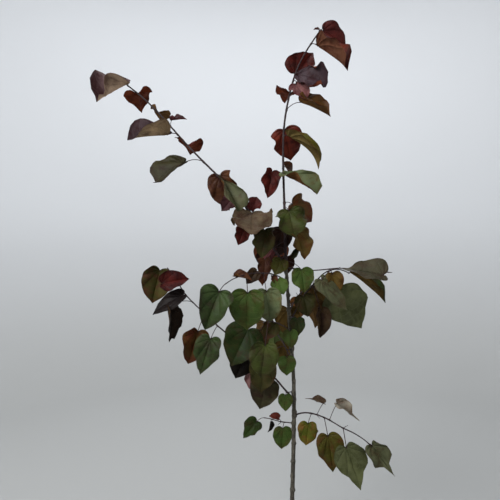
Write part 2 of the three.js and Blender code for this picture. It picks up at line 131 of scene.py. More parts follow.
def anglesRound(count):
    return np.arange(count) * 2 * math.pi / count


def roundPoints(radius, angle, height):
    return np.stack([radius * np.cos(angle), radius * np.sin(angle), height], -1)


def ringQuads(rings, sides):
    row = np.arange(rings - 1)[:, None] * sides
    column = np.arange(sides)[None, :]
    after = (column + 1) % sides
    return np.stack([row + column, row + after, row + sides + after, row + sides + column], -1).reshape(-1, 4)


# Skins a stack of closed rings. A fan closes each end, round a middle point that comes after the rings
def addRings(heap, rings, sides, slot=0, flipped=False, ends=2, isGap=None):
    quads = ringQuads(rings, sides)
    if isGap is not None:
        quads = quads[~isGap]
    addFaces(heap, "quads", quads[:, ::-1] if flipped else quads, slot)
    ring = np.arange(sides)
    after, top = (ring + 1) % sides, (rings - 1) * sides
    for end, pair in enumerate(((after, ring), (top + ring, top + after))[:ends]):
        fan = np.stack([np.full(sides, rings * sides + end), *(pair[::-1] if flipped else pair)], -1)
        addFaces(heap, "triangles", fan, slot)


# A piece without nodes belongs to the stage
def buildPiece(name, heap, materials, nodes, crease=50):
    points = np.concatenate(heap["points"])
    faces = heap["quads"] + heap["triangles"]
    corners = np.concatenate([f[0].ravel() for f in faces])
    sizes = np.concatenate([np.full(len(f[0]), f[0].shape[1]) for f in faces])
    mesh = bpy.data.meshes.new(name)
    mesh.vertices.add(len(points))
    mesh.vertices.foreach_set("co", points.ravel())
    mesh.loops.add(len(corners))
    mesh.loops.foreach_set("vertex_index", corners)
    mesh.polygons.add(len(sizes))
    mesh.polygons.foreach_set("loop_start", np.concatenate([[0], np.cumsum(sizes)[:-1]]))
    mesh.polygons.foreach_set("material_index", np.concatenate([f[1] for f in faces]))
    mesh.update(calc_edges=True)
    mesh.shade_smooth()
    mesh.set_sharp_from_angle(angle=math.radians(crease))
    for trait, parts in heap["traits"].items():
        values = np.concatenate(parts)
        wide = values.ndim > 1
        layer = mesh.attributes.new(trait, "FLOAT_VECTOR" if wide else "FLOAT", "POINT")
        layer.data.foreach_set("vector" if wide else "value", values.ravel())
    if faces[0][2] is not None:
        layer = mesh.uv_layers.new(name="OFBake")
        layer.data.foreach_set("uv", np.concatenate([f[2].reshape(-1) for f in faces]))
    for surface in materials:
        mesh.materials.append(surface)
    piece = bpy.data.objects.new(name, mesh)
    bpy.context.scene.collection.objects.link(piece)
    if nodes is None:
        return
    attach(piece, "root")
    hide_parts(*nodes)


# ---- making materials ----

class nodeMaker:
    def __init__(self, name):
        self.material = bpy.data.materials.new(name)
        self.material.use_nodes = True
        self.tree = self.material.node_tree
        self.shader = self.tree.nodes["Principled BSDF"]

    def node(self, kind, settings=None, **inputs):
        made = self.tree.nodes.new("ShaderNode" + kind)
        for key, value in (settings or {}).items():
            setattr(made, key, value)
        for name, value in inputs.items():
            self.put(made.inputs[name], value)
        return made

    def put(self, socket, value):
        if isinstance(value, bpy.types.NodeSocket):
            self.tree.links.new(value, socket)
        else:
            socket.default_value = value

    def place(self, stretch=(1, 1, 1), source=None):
        source = source or self.node("TexCoord").outputs["Object"]
        return self.node("Mapping", Vector=source, Scale=stretch).outputs[0]

    def height(self, place):
        return self.node("SeparateXYZ", Vector=place).outputs["Z"]

    def trait(self, name, output="Fac"):
        return self.node("Attribute", {"attribute_name": name}).outputs[output]

    def noise(self, place, scale, detail, roughness=0.55, distortion=0):
        settings = {"Scale": scale, "Detail": detail, "Roughness": roughness, "Distortion": distortion}
        return self.node("TexNoise", Vector=place, **settings).outputs["Fac"]

    def cells(self, place, scale, feature="DISTANCE_TO_EDGE"):
        return self.node("TexVoronoi", {"feature": feature}, Vector=place, Scale=scale).outputs["Distance"]

    def math(self, operation, *values):
        made = self.node("Math", {"operation": operation})
        for socket, value in zip(made.inputs, values):
            self.put(socket, value)
        return made.outputs[0]

    def times(self, first, second):
        return self.math("MULTIPLY", first, second)

    def timesPlus(self, first, second, third):
        return self.math("MULTIPLY_ADD", first, second, third)

    # Eases from newLow to newHigh while the value goes from low to high
    def span(self, value, low, high, newLow=0.0, newHigh=1.0):
        limits = {"From Min": low, "From Max": high, "To Min": newLow, "To Max": newHigh}
        return self.node("MapRange", {"interpolation_type": "SMOOTHSTEP"}, Value=value, **limits).outputs[0]

    def mix(self, share, first, second):
        made = self.node("Mix", {"data_type": "RGBA"})
        for socket, value in ((0, share), (6, first), (7, second)):     # the sockets for colours
            self.put(made.inputs[socket], value)
        return made.outputs[2]

    # The relief is how high the bumps are and how much of them shows
    def finish(self, base, roughness, height, relief, shine):
        bump = self.node("Bump", Height=height, Distance=relief[0], Strength=relief[1]).outputs[0]
        values = {"Base Color": base, "Roughness": roughness, "Normal": bump, "Specular IOR Level": shine}
        for name, value in values.items():
            self.put(self.shader.inputs[name], value)
        return self.material


# ---- camera, light and ground ----

studio = {
    "cameraPlace": (-0.1176, -1.2, 1.094), "fieldOfView": 60.5, "sensor": 36, "clipStart": 0.05,
    "floorRadius": 2.3, "firstRing": 0.05, "bend": 1.05, "wallHeight": 4.6,
    "floorRings": 12, "bendRings": 16, "wallRings": 8, "sides": 128,
    # painted shade: the paper is darker towards the bottom, easing from the wall tone high up to the darker
    # floor tone low down over the fade heights
    "shadedFloorTone": (180, 181, 179), "wallTone": (226, 228, 230), "fade": (-0.2, 1.6),
    "grain": (260, 4), "grainTone": (150, 152, 154), "grainSpan": (0.3, 0.7, 0.0, 0.04), "roughness": 0.85,
    "relief": (0.0004, 0.3), "shine": 0.2,
    "worldTone": (236, 240, 246), "worldStrength": 0.05,
}

# Each light: its place, what it points at, width, height, power and tone
lights = {
    "window_light": ((-1.9, -1.8, 2.9), (-0.1, 0, 1.2), 1.5, 1.5, 84, (252, 253, 255)),
    "right_fill": ((2.3, -1.5, 2.3), (-0.1, 0, 1.1), 1.6, 1.9, 4, (255, 252, 246)),
    "ceiling_light": ((0.2, 0.3, 4.3), (0.1, 0.2, 0), 2.4, 2.4, 40, (252, 253, 255)),
    "wall_wash": ((-0.1, 1.1, 3.4), (-0.2, 3.4, 2.3), 2.2, 0.6, 26, (248, 250, 255)),
    "back_fill": ((0.6, 2.2, 2.2), (0, 0, 1.0), 1.8, 1.8, 8, (246, 249, 255)),
}


def makeCamera():
    data = bpy.data.cameras.new("camera")
    data.sensor_width = studio["sensor"]
    data.lens = studio["sensor"] / 2 / math.tan(math.radians(studio["fieldOfView"] / 2))
    data.clip_start = studio["clipStart"]
    camera = bpy.data.objects.new("camera", data)
    camera.location = studio["cameraPlace"]
    camera.rotation_euler = (math.radians(90), 0, 0)
    bpy.context.scene.collection.objects.link(camera)
    bpy.context.scene.camera = camera


def studioSurface():
    m = nodeMaker("paleStudioPaper")
    place = m.place()
    # painted shade: the tone darkens towards the bottom, by height
    rise = m.span(m.height(place), *studio["fade"])
    tone = m.mix(rise, colour(*studio["shadedFloorTone"]), colour(*studio["wallTone"]))
    grain = m.noise(place, *studio["grain"])
    tone = m.mix(m.span(grain, *studio["grainSpan"]), tone, colour(*studio["grainTone"]))
    return m.finish(tone, studio["roughness"], grain, studio["relief"], studio["shine"])


# A round sheet of paper that turns up into a wall on all sides, well outside every camera
def makeGround():
    bend, floor, sides = studio["bend"], studio["floorRadius"], studio["sides"]
    profile = [(radius, 0.0) for radius in np.linspace(studio["firstRing"], floor, studio["floorRings"])]
    for turn in np.linspace(0, 90, studio["bendRings"])[1:]:
        angle = math.radians(turn)
        profile.append((floor + bend * math.sin(angle), bend * (1 - math.cos(angle))))
    wallHeights = np.linspace(bend, studio["wallHeight"], studio["wallRings"])[1:]
    profile += [(floor + bend, height) for height in wallHeights]
    points = [[r * math.cos(a), r * math.sin(a), z] for r, z in profile for a in anglesRound(sides)]
    heap = newHeap()
    addRings(heap, len(profile), sides, flipped=True, ends=1)
    addPoints(heap, points + [[0, 0, 0]])
    buildPiece("studio_paper", heap, [studioSurface()], None)


def makeLight(name, place, target, width, height, power, tone):
    data = bpy.data.lights.new(name, "AREA")
    data.shape, data.size, data.size_y, data.energy = "RECTANGLE", width, height, power
    data.color = colour(*tone)[:3]
    lamp = bpy.data.objects.new(name, data)
    lamp.location = place
    away = np.array(place, float) - np.array(target, float)
    yaw = math.atan2(away[1], away[0]) + math.pi / 2
    lamp.rotation_euler = (math.atan2(math.hypot(away[0], away[1]), away[2]), 0, yaw)
    lamp.visible_camera = False
    bpy.context.scene.collection.objects.link(lamp)


def makeStudio():
    makeCamera()
    makeGround()
    for name, values in lights.items():
        makeLight(name, *values)
    world = bpy.data.worlds.new("daylight")
    world.use_nodes = True
    background = world.node_tree.nodes["Background"]
    background.inputs["Color"].default_value = colour(*studio["worldTone"])
    background.inputs["Strength"].default_value = studio["worldStrength"]
    bpy.context.scene.world = world
    bpy.context.scene.view_settings.view_transform = "Standard"
    print("studio: camera, paper and", len(lights), "lights")


# ---- the shoots ----

potSize = {
    "height": 235, "footRadius": 104, "bodyRadius": 131, "rimRadius": 140, "rimDepth": 26,
    "wall": 2.6, "edge": 2, "soilTop": 215, "soilSag": 5, "soilFlat": 30, "gap": 0.3,
}
groundLevel = potSize["soilTop"] + potSize["gap"]      # the stem's foot

# The limbs are laid out in steps, and the bearing of all but the shortest swings a little to either side
limbRule = {"step": 17, "kink": 3, "straightSteps": 4, "flareHeight": 42, "flareSpread": 3.2}

# Leaves by rule, for shoots that list none: pairs are the least and the most, or the first and the last
leafRule = {
    "at": (0.22, 0.99), "swing": (70, 25), "stalkLength": (30, 44), "stalkLean": (95, 140),
    "bladeTurn": 20, "bladeLean": (145, 167), "faceTurn": 25, "faceLean": 60, "fold": (10, 28),
}


# A leaf's place along its shoot, [length, bearing, lean] of its stalk and of its midrib, [bearing, lean] of
# its upper side, how far its halves fold up, its tint and how broad it is. Some leaves also state:
# curl, how much the midrib droops; bend, how far the tip hooks down; front, the fold of the half nearer the
# front, where the halves differ; pinch, how much more the base folds than the tip; twist, how far the tip
# turns its upper side to the front; crumple, how wavy the blade is; ragged, how torn its margin is; tail, how
# narrow its tip is drawn out; blunt, how much of the tip is missing; taper, how much wider it is by the tip
# than by the stalk; and flare, how much more so the half that is further back
def leaf(at, stalk, blade, face, fold, tint, breadth=1, **rest):
    row = {"curl": 0.08, "front": None, "pinch": 0, "twist": 0, "bend": 12, "crumple": 1, "ragged": 0,
           "tail": 0, "taper": 0, "flare": 0, "blunt": 0}
    row.update(at=at, stalk=stalk, blade=blade, face=face, fold=fold, tint=tint, breadth=breadth, **rest)
    return row


shoots = [
    {"name": "trunk", "parent": None, "length": 834, "thick": (13.4, 8.4), "bearing": [0],
     "lean": [-0.5, 0.3, 1.8, 1, -0.5, -5, -3.5, -3.5], "pieces": [("trunk", 0, 1)], "leaves": []},
    {"name": "leader", "parent": "trunk", "from": 1, "length": 694, "thick": (7.8, 4.0), "bearing": [8],
     "lean": [-3, -1, -2, -1.5, 1, 10, 16, 30, 38], "wine": True, "crumple": 1.6,
     "pieces": [("leader_lower_foliage", 0, 0.34), ("leader_middle_foliage", 0.34, 0.6),
                ("leader_top_foliage", 0.6, 1)],
     "leaves": [
         leaf(0.02, [46, 342, 118], [64, 300, 164], [275, 75], 14, "green", breadth=1.1),
         leaf(0.03, [14, 335, 60], [46, 350, 42], [300, 80], 55, "deepGreen", breadth=0.7, tail=0.4),
         leaf(0.04, [24, 236, 112], [48, 228, 145], [262, 74], 6, "moss", breadth=1.15),
         leaf(0.07, [30, 175, 92], [64, 190, 150], [100, 80], 42, "purple", breadth=0.6),
         leaf(0.13, [76, 222, 84], [76, 240, 166], [262, 75], 20, "darkOlive"),
         leaf(0.15, [14, 110, 110], [80, 160, 158], [262, 80], 18, "nightPurple"),
         leaf(0.17, [36, 345, 122], [82, 333, 158], [300, 70], 28, "umber"),
         leaf(0.235, [24, 296, 112], [80, 298, 160], [268, 72], 10, "dullGreen", breadth=1.22),
         leaf(0.255, [24, 30, 95], [80, 12, 124], [285, 60], 16, "bronze", breadth=1.25, crumple=0.6),
         leaf(0.37, [30, 195, 80], [76, 225, 164], [285, 75], 26, "burgundy", breadth=0.8),
         leaf(0.375, [10, 300, 118], [124, 347, 119], [272, 54], 8, "greyGreen", breadth=0.78,
              front=80, twist=50, taper=-0.1, flare=0.7, blunt=0.2, pinch=-0.3),
         leaf(0.4, [10, 60, 80], [50, 50, 105], [300, 60], 30, "brown"),
         leaf(0.525, [16, 335, 100], [130, 345, 118], [285, 25], 50, "olive", breadth=0.6, curl=0.3),
         leaf(0.555, [12, 80, 95], [88, 40, 158], [262, 75], 14, "redBrown", breadth=1.15),
         leaf(0.632, [42, 350, 66], [96, 350, 112], [280, 25], 55, "bronze", curl=0.14, twist=20, blunt=0.06),
         leaf(0.69, [9, 60, 40], [96, 95, 80], [180, 3], 36, "burgundy"),
         leaf(0.735, [10, 330, 95], [62, 320, 142], [272, 68], 12, "rose"),
         leaf(0.755, [14, 40, 95], [48, 20, 140], [280, 60], 20, "brown"),
         leaf(0.775, [9, 320, 95], [96, 340, 106], [275, 80], 14, "plum", breadth=0.95, crumple=2,
              ragged=0.3, taper=0.7, blunt=0.1),
         leaf(0.82, [20, 150, 150], [88, 14, 40], [275, 70], 22, "burgundy", breadth=1.1, curl=0.02, bend=0,
              tail=0.15),
         leaf(0.925, [22, 325, 118], [112, 350, 125], [280, 22], 22, "redBrown", breadth=1.15, front=82,
              pinch=-0.2, twist=68, flare=0.25),
         leaf(0.975, [34, 50, 55], [88, 12, 114], [272, 72], 24, "maroon", breadth=0.95),
         leaf(0.995, [4, 170, 60], [16, 175, 80], [270, 20], 40, "rose"),
         leaf(0.1, [74, 195, 130], [50, 262, 165], [270, 74], 20, "brown"),
     ]},
    {"name": "left", "parent": "trunk", "from": 0.998, "length": 700, "thick": (6.6, 3.8),
     "wine": True, "crumple": 1.6,
     "bearing": [208, 197, 185, 176, 166, 165, 166, 168], "lean": [40, 34, 36, 46, 45, 41, 45, 54],
     "pieces": [("left_bough", 0, 0.15), ("left_inner_foliage", 0.15, 0.5), ("left_tip_foliage", 0.5, 1)],
     "leaves": [
         leaf(0.245, [14, 268, 62], [94, 268, 128], [268, 45], 8, "greyBrown", breadth=1.35, blunt=0.06),
         leaf(0.265, [8, 60, 60], [52, 50, 35], [280, 60], 34, "maroon"),
         leaf(0.285, [52, 140, 172], [50, 200, 160], [290, 75], 20, "burgundy"),
         leaf(0.345, [10, 150, 110], [50, 195, 140], [275, 75], 22, "purple"),
         leaf(0.425, [12, 255, 80], [124, 330, 145], [282, 55], 8, "pewter", breadth=0.6, front=82,
              twist=60, taper=0.9, flare=0.4, blunt=0.2),
         leaf(0.455, [14, 70, 85], [100, 335, 162], [262, 78], 15, "brown", breadth=0.9),
         leaf(0.532, [52, 190, 96], [114, 186, 120], [278, 52], 12, "dusk", breadth=1.1, curl=0.12,
              front=48, taper=0.6, blunt=0.22),
         leaf(0.63, [9, 95, 80], [98, 92, 88], [0, 10], 38, "burgundy"),
         leaf(0.69, [26, 186, 92], [116, 182, 93], [278, 40], 10, "slate", breadth=1.1, front=80, twist=65,
              taper=-0.3, flare=0.9, crumple=0.4),
         leaf(0.74, [16, 60, 20], [44, 10, 78], [300, 25], 42, "purple"),
         leaf(0.82, [9, 85, 80], [70, 95, 92], [350, 20], 36, "bronze"),
         leaf(0.94, [8, 100, 85], [94, 98, 98], [180, 14], 34, "burgundy"),
         # painted light: this tip leaf takes the lighter copy of slate
         leaf(0.995, [6, 150, 20], [108, 178, 118], [278, 70], 12, "mauve", breadth=1.35, curl=0.02,
              front=108, pinch=-0.22, twist=60, taper=-0.15, flare=1.0, blunt=0.03),
     ]},
    {"name": "lower left", "parent": "trunk", "from": 0.552, "length": 540, "thick": (5.6, 3.2),
     "bearing": [160, 158, 160, 163, 164, 165, 166, 160, 160],
     "lean": [46, 46, 51, 53, 53, 50, 49, 34, 44],
     "pieces": [("lower_left_bough", 0, 0.13), ("lower_left_inner_foliage", 0.13, 0.5),
                ("lower_left_tip_foliage", 0.5, 1)],
     "leaves": [
         leaf(0.165, [20, 200, 130], [82, 208, 164], [272, 78], 14, "dusk", breadth=1.1),
         leaf(0.235, [34, 272, 58], [86, 256, 166], [268, 72], 15, "darkOlive"),
         leaf(0.31, [44, 110, 168], [52, 250, 170], [75, 85], 28, "rose"),
         leaf(0.32, [16, 150, 70], [84, 212, 158], [290, 75], 24, "nearBlack"),
         leaf(0.38, [56, 320, 22], [114, 212, 148], [268, 72], 14, "deepGreen", breadth=1.1),
         leaf(0.56, [42, 206, 150], [110, 216, 161], [270, 72], 14, "coolGreen", breadth=0.82, tail=0.3),
         leaf(0.657, [56, 178, 158], [104, 195, 164], [295, 75], 30, "bronze", breadth=0.9),
         leaf(0.755, [74, 182, 106], [100, 330, 170], [335, 80], 42, "char", breadth=0.95, ragged=1.1,
              tail=0.2),
         leaf(0.81, [9, 200, 100], [108, 187, 117], [272, 48], 16, "smoke", breadth=0.6),
         leaf(0.9, [44, 200, 94], [84, 12, 78], [272, 68], 34, "maroon", breadth=0.9),
         leaf(0.99, [26, 172, 98], [106, 192, 164], [278, 72], 28, "bronzeGreen"),
     ]},
    {"name": "left middle", "parent": "trunk", "from": 0.945, "length": 214, "thick": (3.4, 2.4),
     "bearing": [222, 219, 212, 208], "lean": [54, 70, 85, 92, 106, 122],
     "pieces": [("left_middle_foliage", 0, 1)],
     "leaves": [
         leaf(0.25, [14, 330, 150], [44, 318, 150], [272, 68], 8, "green", breadth=1.2),
         leaf(0.32, [9, 60, 130], [26, 330, 150], [300, 70], 36, "brown"),
         leaf(0.45, [48, 330, 170], [86, 305, 168], [285, 75], 22, "greyGreen"),
         leaf(0.52, [10, 120, 70], [44, 190, 140], [290, 60], 36, "darkBrown"),
         leaf(0.7, [47, 300, 174], [99, 245, 172], [267, 76], 10, "green", breadth=1.05),
         leaf(0.84, [10, 120, 80], [46, 352, 96], [280, 25], 40, "brown"),
         leaf(1, [26, 196, 140], [106, 204, 155], [272, 70], 32, "coolGreen", breadth=0.86, twist=24,
              taper=-0.3, blunt=0.04),
     ]},
    {"name": "front", "parent": "trunk", "from": 0.78, "length": 132, "thick": (3.0, 2.4),
     "bearing": [242, 238, 232], "lean": [60, 66, 72, 80], "pieces": [("front_foliage", 0, 1)],
     "leaves": [
         leaf(0.2, [12, 300, 110], [47, 285, 168], [270, 74], 10, "green"),
         leaf(0.62, [14, 140, 90], [52, 200, 150], [285, 65], 26, "bronzeGreen"),
         leaf(1, [60, 220, 170], [84, 236, 165], [270, 72], 14, "fern"),
     ]},
    {"name": "right upper", "parent": "trunk", "from": 0.995, "length": 282, "thick": (3.6, 2.2),
     "bearing": [350, 346], "lean": [94, 99, 86, 82, 93, 95, 96, 92],
     "pieces": [("right_upper_foliage", 0, 1)],
     "leaves": [
         leaf(0.07, [44, 20, 156], [42, 12, 84], [285, 55], 36, "brown", breadth=0.7),
         leaf(0.5, [54, 192, 124], [106, 338, 138], [268, 60], -30, "pewter", breadth=0.64, front=14),
         leaf(0.97, [16, 205, 116], [108, 172, 78], [280, 60], 8, "stone", breadth=0.84, front=34,
              twist=-30, taper=0.2, flare=-0.6),
         leaf(0.42, [16, 20, 140], [60, 350, 168], [275, 62], 20, "umber"),
     ]},
    {"name": "right arching", "parent": "trunk", "from": 0.815, "length": 262, "thick": (4.2, 3.0),
     "bearing": [28, 24, 20, 16], "lean": [38, 37, 32, 46, 46, 66, 96, 120],
     "pieces": [("right_arching_bough", 0, 0.34), ("right_arching_foliage", 0.34, 1)],
     "leaves": [
         leaf(0.38, [26, 240, 112], [60, 310, 160], [268, 74], 12, "darkOlive", breadth=1.1),
         leaf(0.48, [72, 345, 163], [84, 320, 176], [295, 78], 46, "darkBrown", breadth=0.8),
         leaf(0.72, [14, 320, 150], [62, 325, 152], [268, 70], 10, "moss"),
         leaf(0.76, [72, 22, 160], [124, 343, 145], [266, 72], 14, "sage", breadth=1.2, tail=0.25),
         leaf(0.995, [10, 350, 98], [128, 349, 127], [282, 45], 34, "deepGreen", breadth=0.95, front=78),
     ]},
    {"name": "right spur", "parent": "trunk", "from": 0.826, "length": 26, "thick": (2.8, 2.2),
     "bearing": [300], "lean": [75], "pieces": [("right_spur_foliage", 0, 1)],
     "leaves": [leaf(0.85, [10, 325, 112], [46, 292, 166], [264, 74], 12, "deepGreen")]},
    {"name": "left spur", "parent": "trunk", "from": 0.72, "length": 30, "thick": (2.8, 2.2),
     "bearing": [235], "lean": [80], "pieces": [("left_spur_foliage", 0, 1)],
     "leaves": [leaf(0.8, [20, 250, 160], [50, 278, 172], [268, 76], 8, "green", breadth=1.1)]},
    {"name": "low spur", "parent": "trunk", "from": 0.578, "length": 26, "thick": (2.8, 2.2),
     "bearing": [212], "lean": [84], "pieces": [("low_spur_foliage", 0, 1)],
     "leaves": [leaf(0.95, [8, 230, 130], [44, 262, 170], [268, 78], 10, "green")]},
    {"name": "lower right", "parent": "trunk", "from": 0.498, "length": 222, "thick": (4.2, 2.8),
     "bearing": [330, 338, 342, 344, 345, 346], "lean": [56, 78, 98, 112, 116, 110, 117, 132],
     "pieces": [("lower_right_bough", 0, 0.21), ("lower_right_foliage", 0.21, 1)],
     "leaves": [
         leaf(0.24, [27, 192, 160], [62, 245, 172], [268, 76], 10, "yellowGreen"),
         leaf(0.31, [34, 18, 34], [54, 172, 72], [280, 20], 30, "greyBrown", breadth=0.75, tail=0.8),
         leaf(0.4, [48, 335, 168], [98, 320, 167], [266, 74], 18, "olive", breadth=0.85, tail=0.3),
         leaf(0.47, [48, 355, 24], [76, 346, 122], [285, 40], 46, "ash", breadth=0.68, tail=0.85),
         leaf(0.65, [50, 330, 170], [112, 322, 155], [264, 72], 26, "sage", breadth=0.86, tail=0.4),
         leaf(0.99, [8, 340, 118], [96, 338, 141], [262, 68], 32, "pewter", breadth=0.76, tail=0.75),
     ]},
    {"name": "lower left twig", "parent": "trunk", "from": 0.472, "length": 92, "thick": (3.0, 2.2),
     "bearing": [150, 152], "lean": [92, 95, 86, 92], "pieces": [("lower_left_twig_foliage", 0, 1)],
     "leaves": [
         leaf(0.32, [20, 120, 160], [60, 265, 174], [270, 80], 10, "green"),
         leaf(0.42, [10, 150, 40], [30, 165, 80], [280, 40], 36, "redBrown"),
         leaf(0.75, [8, 200, 150], [30, 220, 170], [330, 80], 40, "nearBlack"),
         leaf(1, [24, 192, 112], [62, 196, 135], [262, 66], 26, "deepGreen", breadth=0.95, tail=0.35),
     ]},
    {"name": "back upper", "parent": "trunk", "from": 0.96, "length": 270, "thick": (3.8, 2.4),
     "bearing": [108, 100, 96], "lean": [42, 50, 62, 78, 96], "pieces": [("back_upper_foliage", 0, 1)],
     "leaves": [], "seeded": 7, "bladeSizes": (50, 78), "tints": ["maroon", "nightPurple", "bronze"]},
    {"name": "back right", "parent": "trunk", "from": 0.84, "length": 235, "thick": (3.6, 2.4),
     "bearing": [66, 60, 58], "lean": [55, 66, 80, 96], "pieces": [("back_right_foliage", 0, 1)],
     "leaves": [], "seeded": 6, "bladeSizes": (60, 90), "tints": ["deepGreen", "bronzeGreen", "brown"]},
    {"name": "back lower", "parent": "trunk", "from": 0.68, "length": 265, "thick": (3.8, 2.4),
     "bearing": [112, 108, 104], "lean": [52, 62, 72, 88, 100], "pieces": [("back_lower_foliage", 0, 1)],
     "leaves": [], "seeded": 6, "bladeSizes": (60, 92), "tints": ["green", "deepGreen", "bronzeGreen"]},
]


def centreLine(start, shoot):
    count = round(shoot["length"] / limbRule["step"])
    points = [start]
    for i in range(count):
        share = (i + 0.5) / count
        kink = limbRule["kink"] if i % 4 < 2 else -limbRule["kink"]
        bearing = valueAlong(shoot["bearing"], share) + (kink if count > limbRule["straightSteps"] else 0)
        step = heading(bearing, valueAlong(shoot["lean"], share))
        points.append(points[-1] + step * shoot["length"] / count)
    return np.array(points)


# The point at a share of a line, which runs straight on past its ends
def pointAlong(points, share):
    place = share * (len(points) - 1)
    index = min(max(math.floor(place), 0), len(points) - 2)
    return points[index] + (points[index + 1] - points[index]) * (place - index)


def directionAlong(points, share):
    halfStep = 0.5 / (len(points) - 1)
    return unit(pointAlong(points, share + halfStep) - pointAlong(points, share - halfStep))


# The same line rounded through its points, so that no corner shows
def roundedLine(points, shares):
    padded = np.vstack([2 * points[0] - points[1], points, 2 * points[-1] - points[-2]])
    place = np.clip(shares, 0, 1) * (len(points) - 1)
    index = np.clip(np.floor(place).astype(int), 0, len(points) - 2)
    t = (place - index)[:, None]
    a, b, c, d = padded[index], padded[index + 1], padded[index + 2], padded[index + 3]
    square, cube = (2 * a - 5 * b + 4 * c - d) * t ** 2, (3 * b - a - 3 * c + d) * t ** 3
    return 0.5 * (2 * b + (c - a) * t + square + cube)


def limbRadius(shoot, share):
    radius = between(shoot["thick"], share) / 2
    if shoot["name"] != "trunk":
        return radius
    near = max(0.0, 1 - share * shoot["length"] / limbRule["flareHeight"])
    return radius + limbRule["flareSpread"] * near ** 2


# Every shoot's line. The leader stands on the trunk's end, the others start inside it
lines = {}
for shoot in shoots:
    parent = lines.get(shoot["parent"])
    start = np.zeros(3) if parent is None else pointAlong(parent, shoot["from"])
    if shoot.get("from") == 1:
        start = start + directionAlong(parent, 1) * potSize["gap"]
    lines[shoot["name"]] = centreLine(start, shoot)


# ---- round limbs, stalks and buds ----

# The directions round each ring, carried along the line without twisting
def ringDirections(centres, angles):
    ahead = np.gradient(centres, axis=0)
    ahead /= np.linalg.norm(ahead, axis=1)[:, None]
    start = np.array([0, 1.0, 0]) if abs(ahead[0][1]) < 0.9 else np.array([1.0, 0, 0])
    across = [unit(start - ahead[0] * np.dot(start, ahead[0]))]
    for direction in ahead[1:]:
        across.append(unit(across[-1] - direction * np.dot(across[-1], direction)))
    across = np.array(across)
    other = np.cross(ahead, across)
    return across[:, None] * np.cos(angles)[None, :, None] + other[:, None] * np.sin(angles)[None, :, None]


# Skins a line of centres. Radii are one for each ring, or one for each ring and side.
# The trait bark is each point's place on the limb laid straight, which its streaks follow
def skinTube(heap, centres, radii, sides, slot=0):
    radii = radii[:, None] * np.ones(sides) if radii.ndim == 1 else radii
    angles = anglesRound(sides)
    points = centres[:, None] + ringDirections(centres, angles) * radii[:, :, None]
    along = np.concatenate([[0], np.cumsum(np.linalg.norm(np.diff(centres, axis=0), axis=1))])
    bark = roundPoints(radii, angles, along[:, None] * np.ones(sides))
    inLimb = np.vstack([bark.reshape(-1, 3), [[0, 0, 0], [0, 0, along[-1]]]])
    place = (np.vstack([points.reshape(-1, 3), [centres[0], centres[-1]]]) + [0, 0, groundLevel]) * mm
    addRings(heap, len(centres), sides, slot)
    addPoints(heap, place, bark=inLimb * mm)


limbLook = {
    "ringEvery": 1.7, "leastRings": 6, "trunkSides": 30, "shootSides": 16,
    # the swellings where leaves and shoots stand
    "nodeHeight": 1.20, "nodeLength": 3.6, "nodeRing": 0.36, "longer": (0.7, 0.3), "higher": (0.55, 0.45),
    "usualThick": 7, "childSize": 1.6, "childThick": 3, "endShare": 0.99,
    # the collar round a shoot's foot
    "collar": 0.55, "collarStart": 3, "collarLength": 5.5,
    # low ridges that wander along the limb
    "ridges": 9, "grain": 0.1, "ridgeLength": (18, 60), "ridgeDepth": (0.4, 0.6), "sway": 2.2,
    "fade": (0.6, 0.4),
    # the soft buttresses of the root flare
    "buttresses": 5, "buttressDepth": 1.1, "buttressReach": 1.3, "buttressTurn": 0.8,
}

dormantRule = {
    "first": 118, "last": 800, "every": 47, "stretch": (0.75, 0.5), "size": (1.2, 0.8),
    "firstTurn": 20.0, "turn": 152, "swing": 40, "lean": 70,
}


# Bare nodes up the stem, where early leaves have dropped
def dormantNodes():
    rule, draw = dormantRule, drawsFor("dormant nodes")
    nodes, height, turn = [], rule["first"], rule["firstTurn"]
    while height < rule["last"]:
        nodes.append((height / shoots[0]["length"], heading(turn, rule["lean"]), vary(rule["size"], draw())))
        height += rule["every"] * vary(rule["stretch"], draw())
        turn += rule["turn"] + rule["swing"] * (draw() - 0.5)
    return nodes


# Where leaves, shoots and dormant buds stand on a shoot: (share, direction, size)
def nodesOn(shoot, leaves):
    nodes = [(entry["at"], heading(*entry["stalk"][1:]), 1.0) for entry in leaves]
    for child in shoots:
        if child["parent"] == shoot["name"] and child["from"] < limbLook["endShare"]:
            size = limbLook["childSize"] * child["thick"][0] / limbLook["childThick"]
            nodes.append((child["from"], heading(child["bearing"][0], child["lean"][0]), size))
    return nodes + dormantNodes() if shoot["name"] == "trunk" else nodes


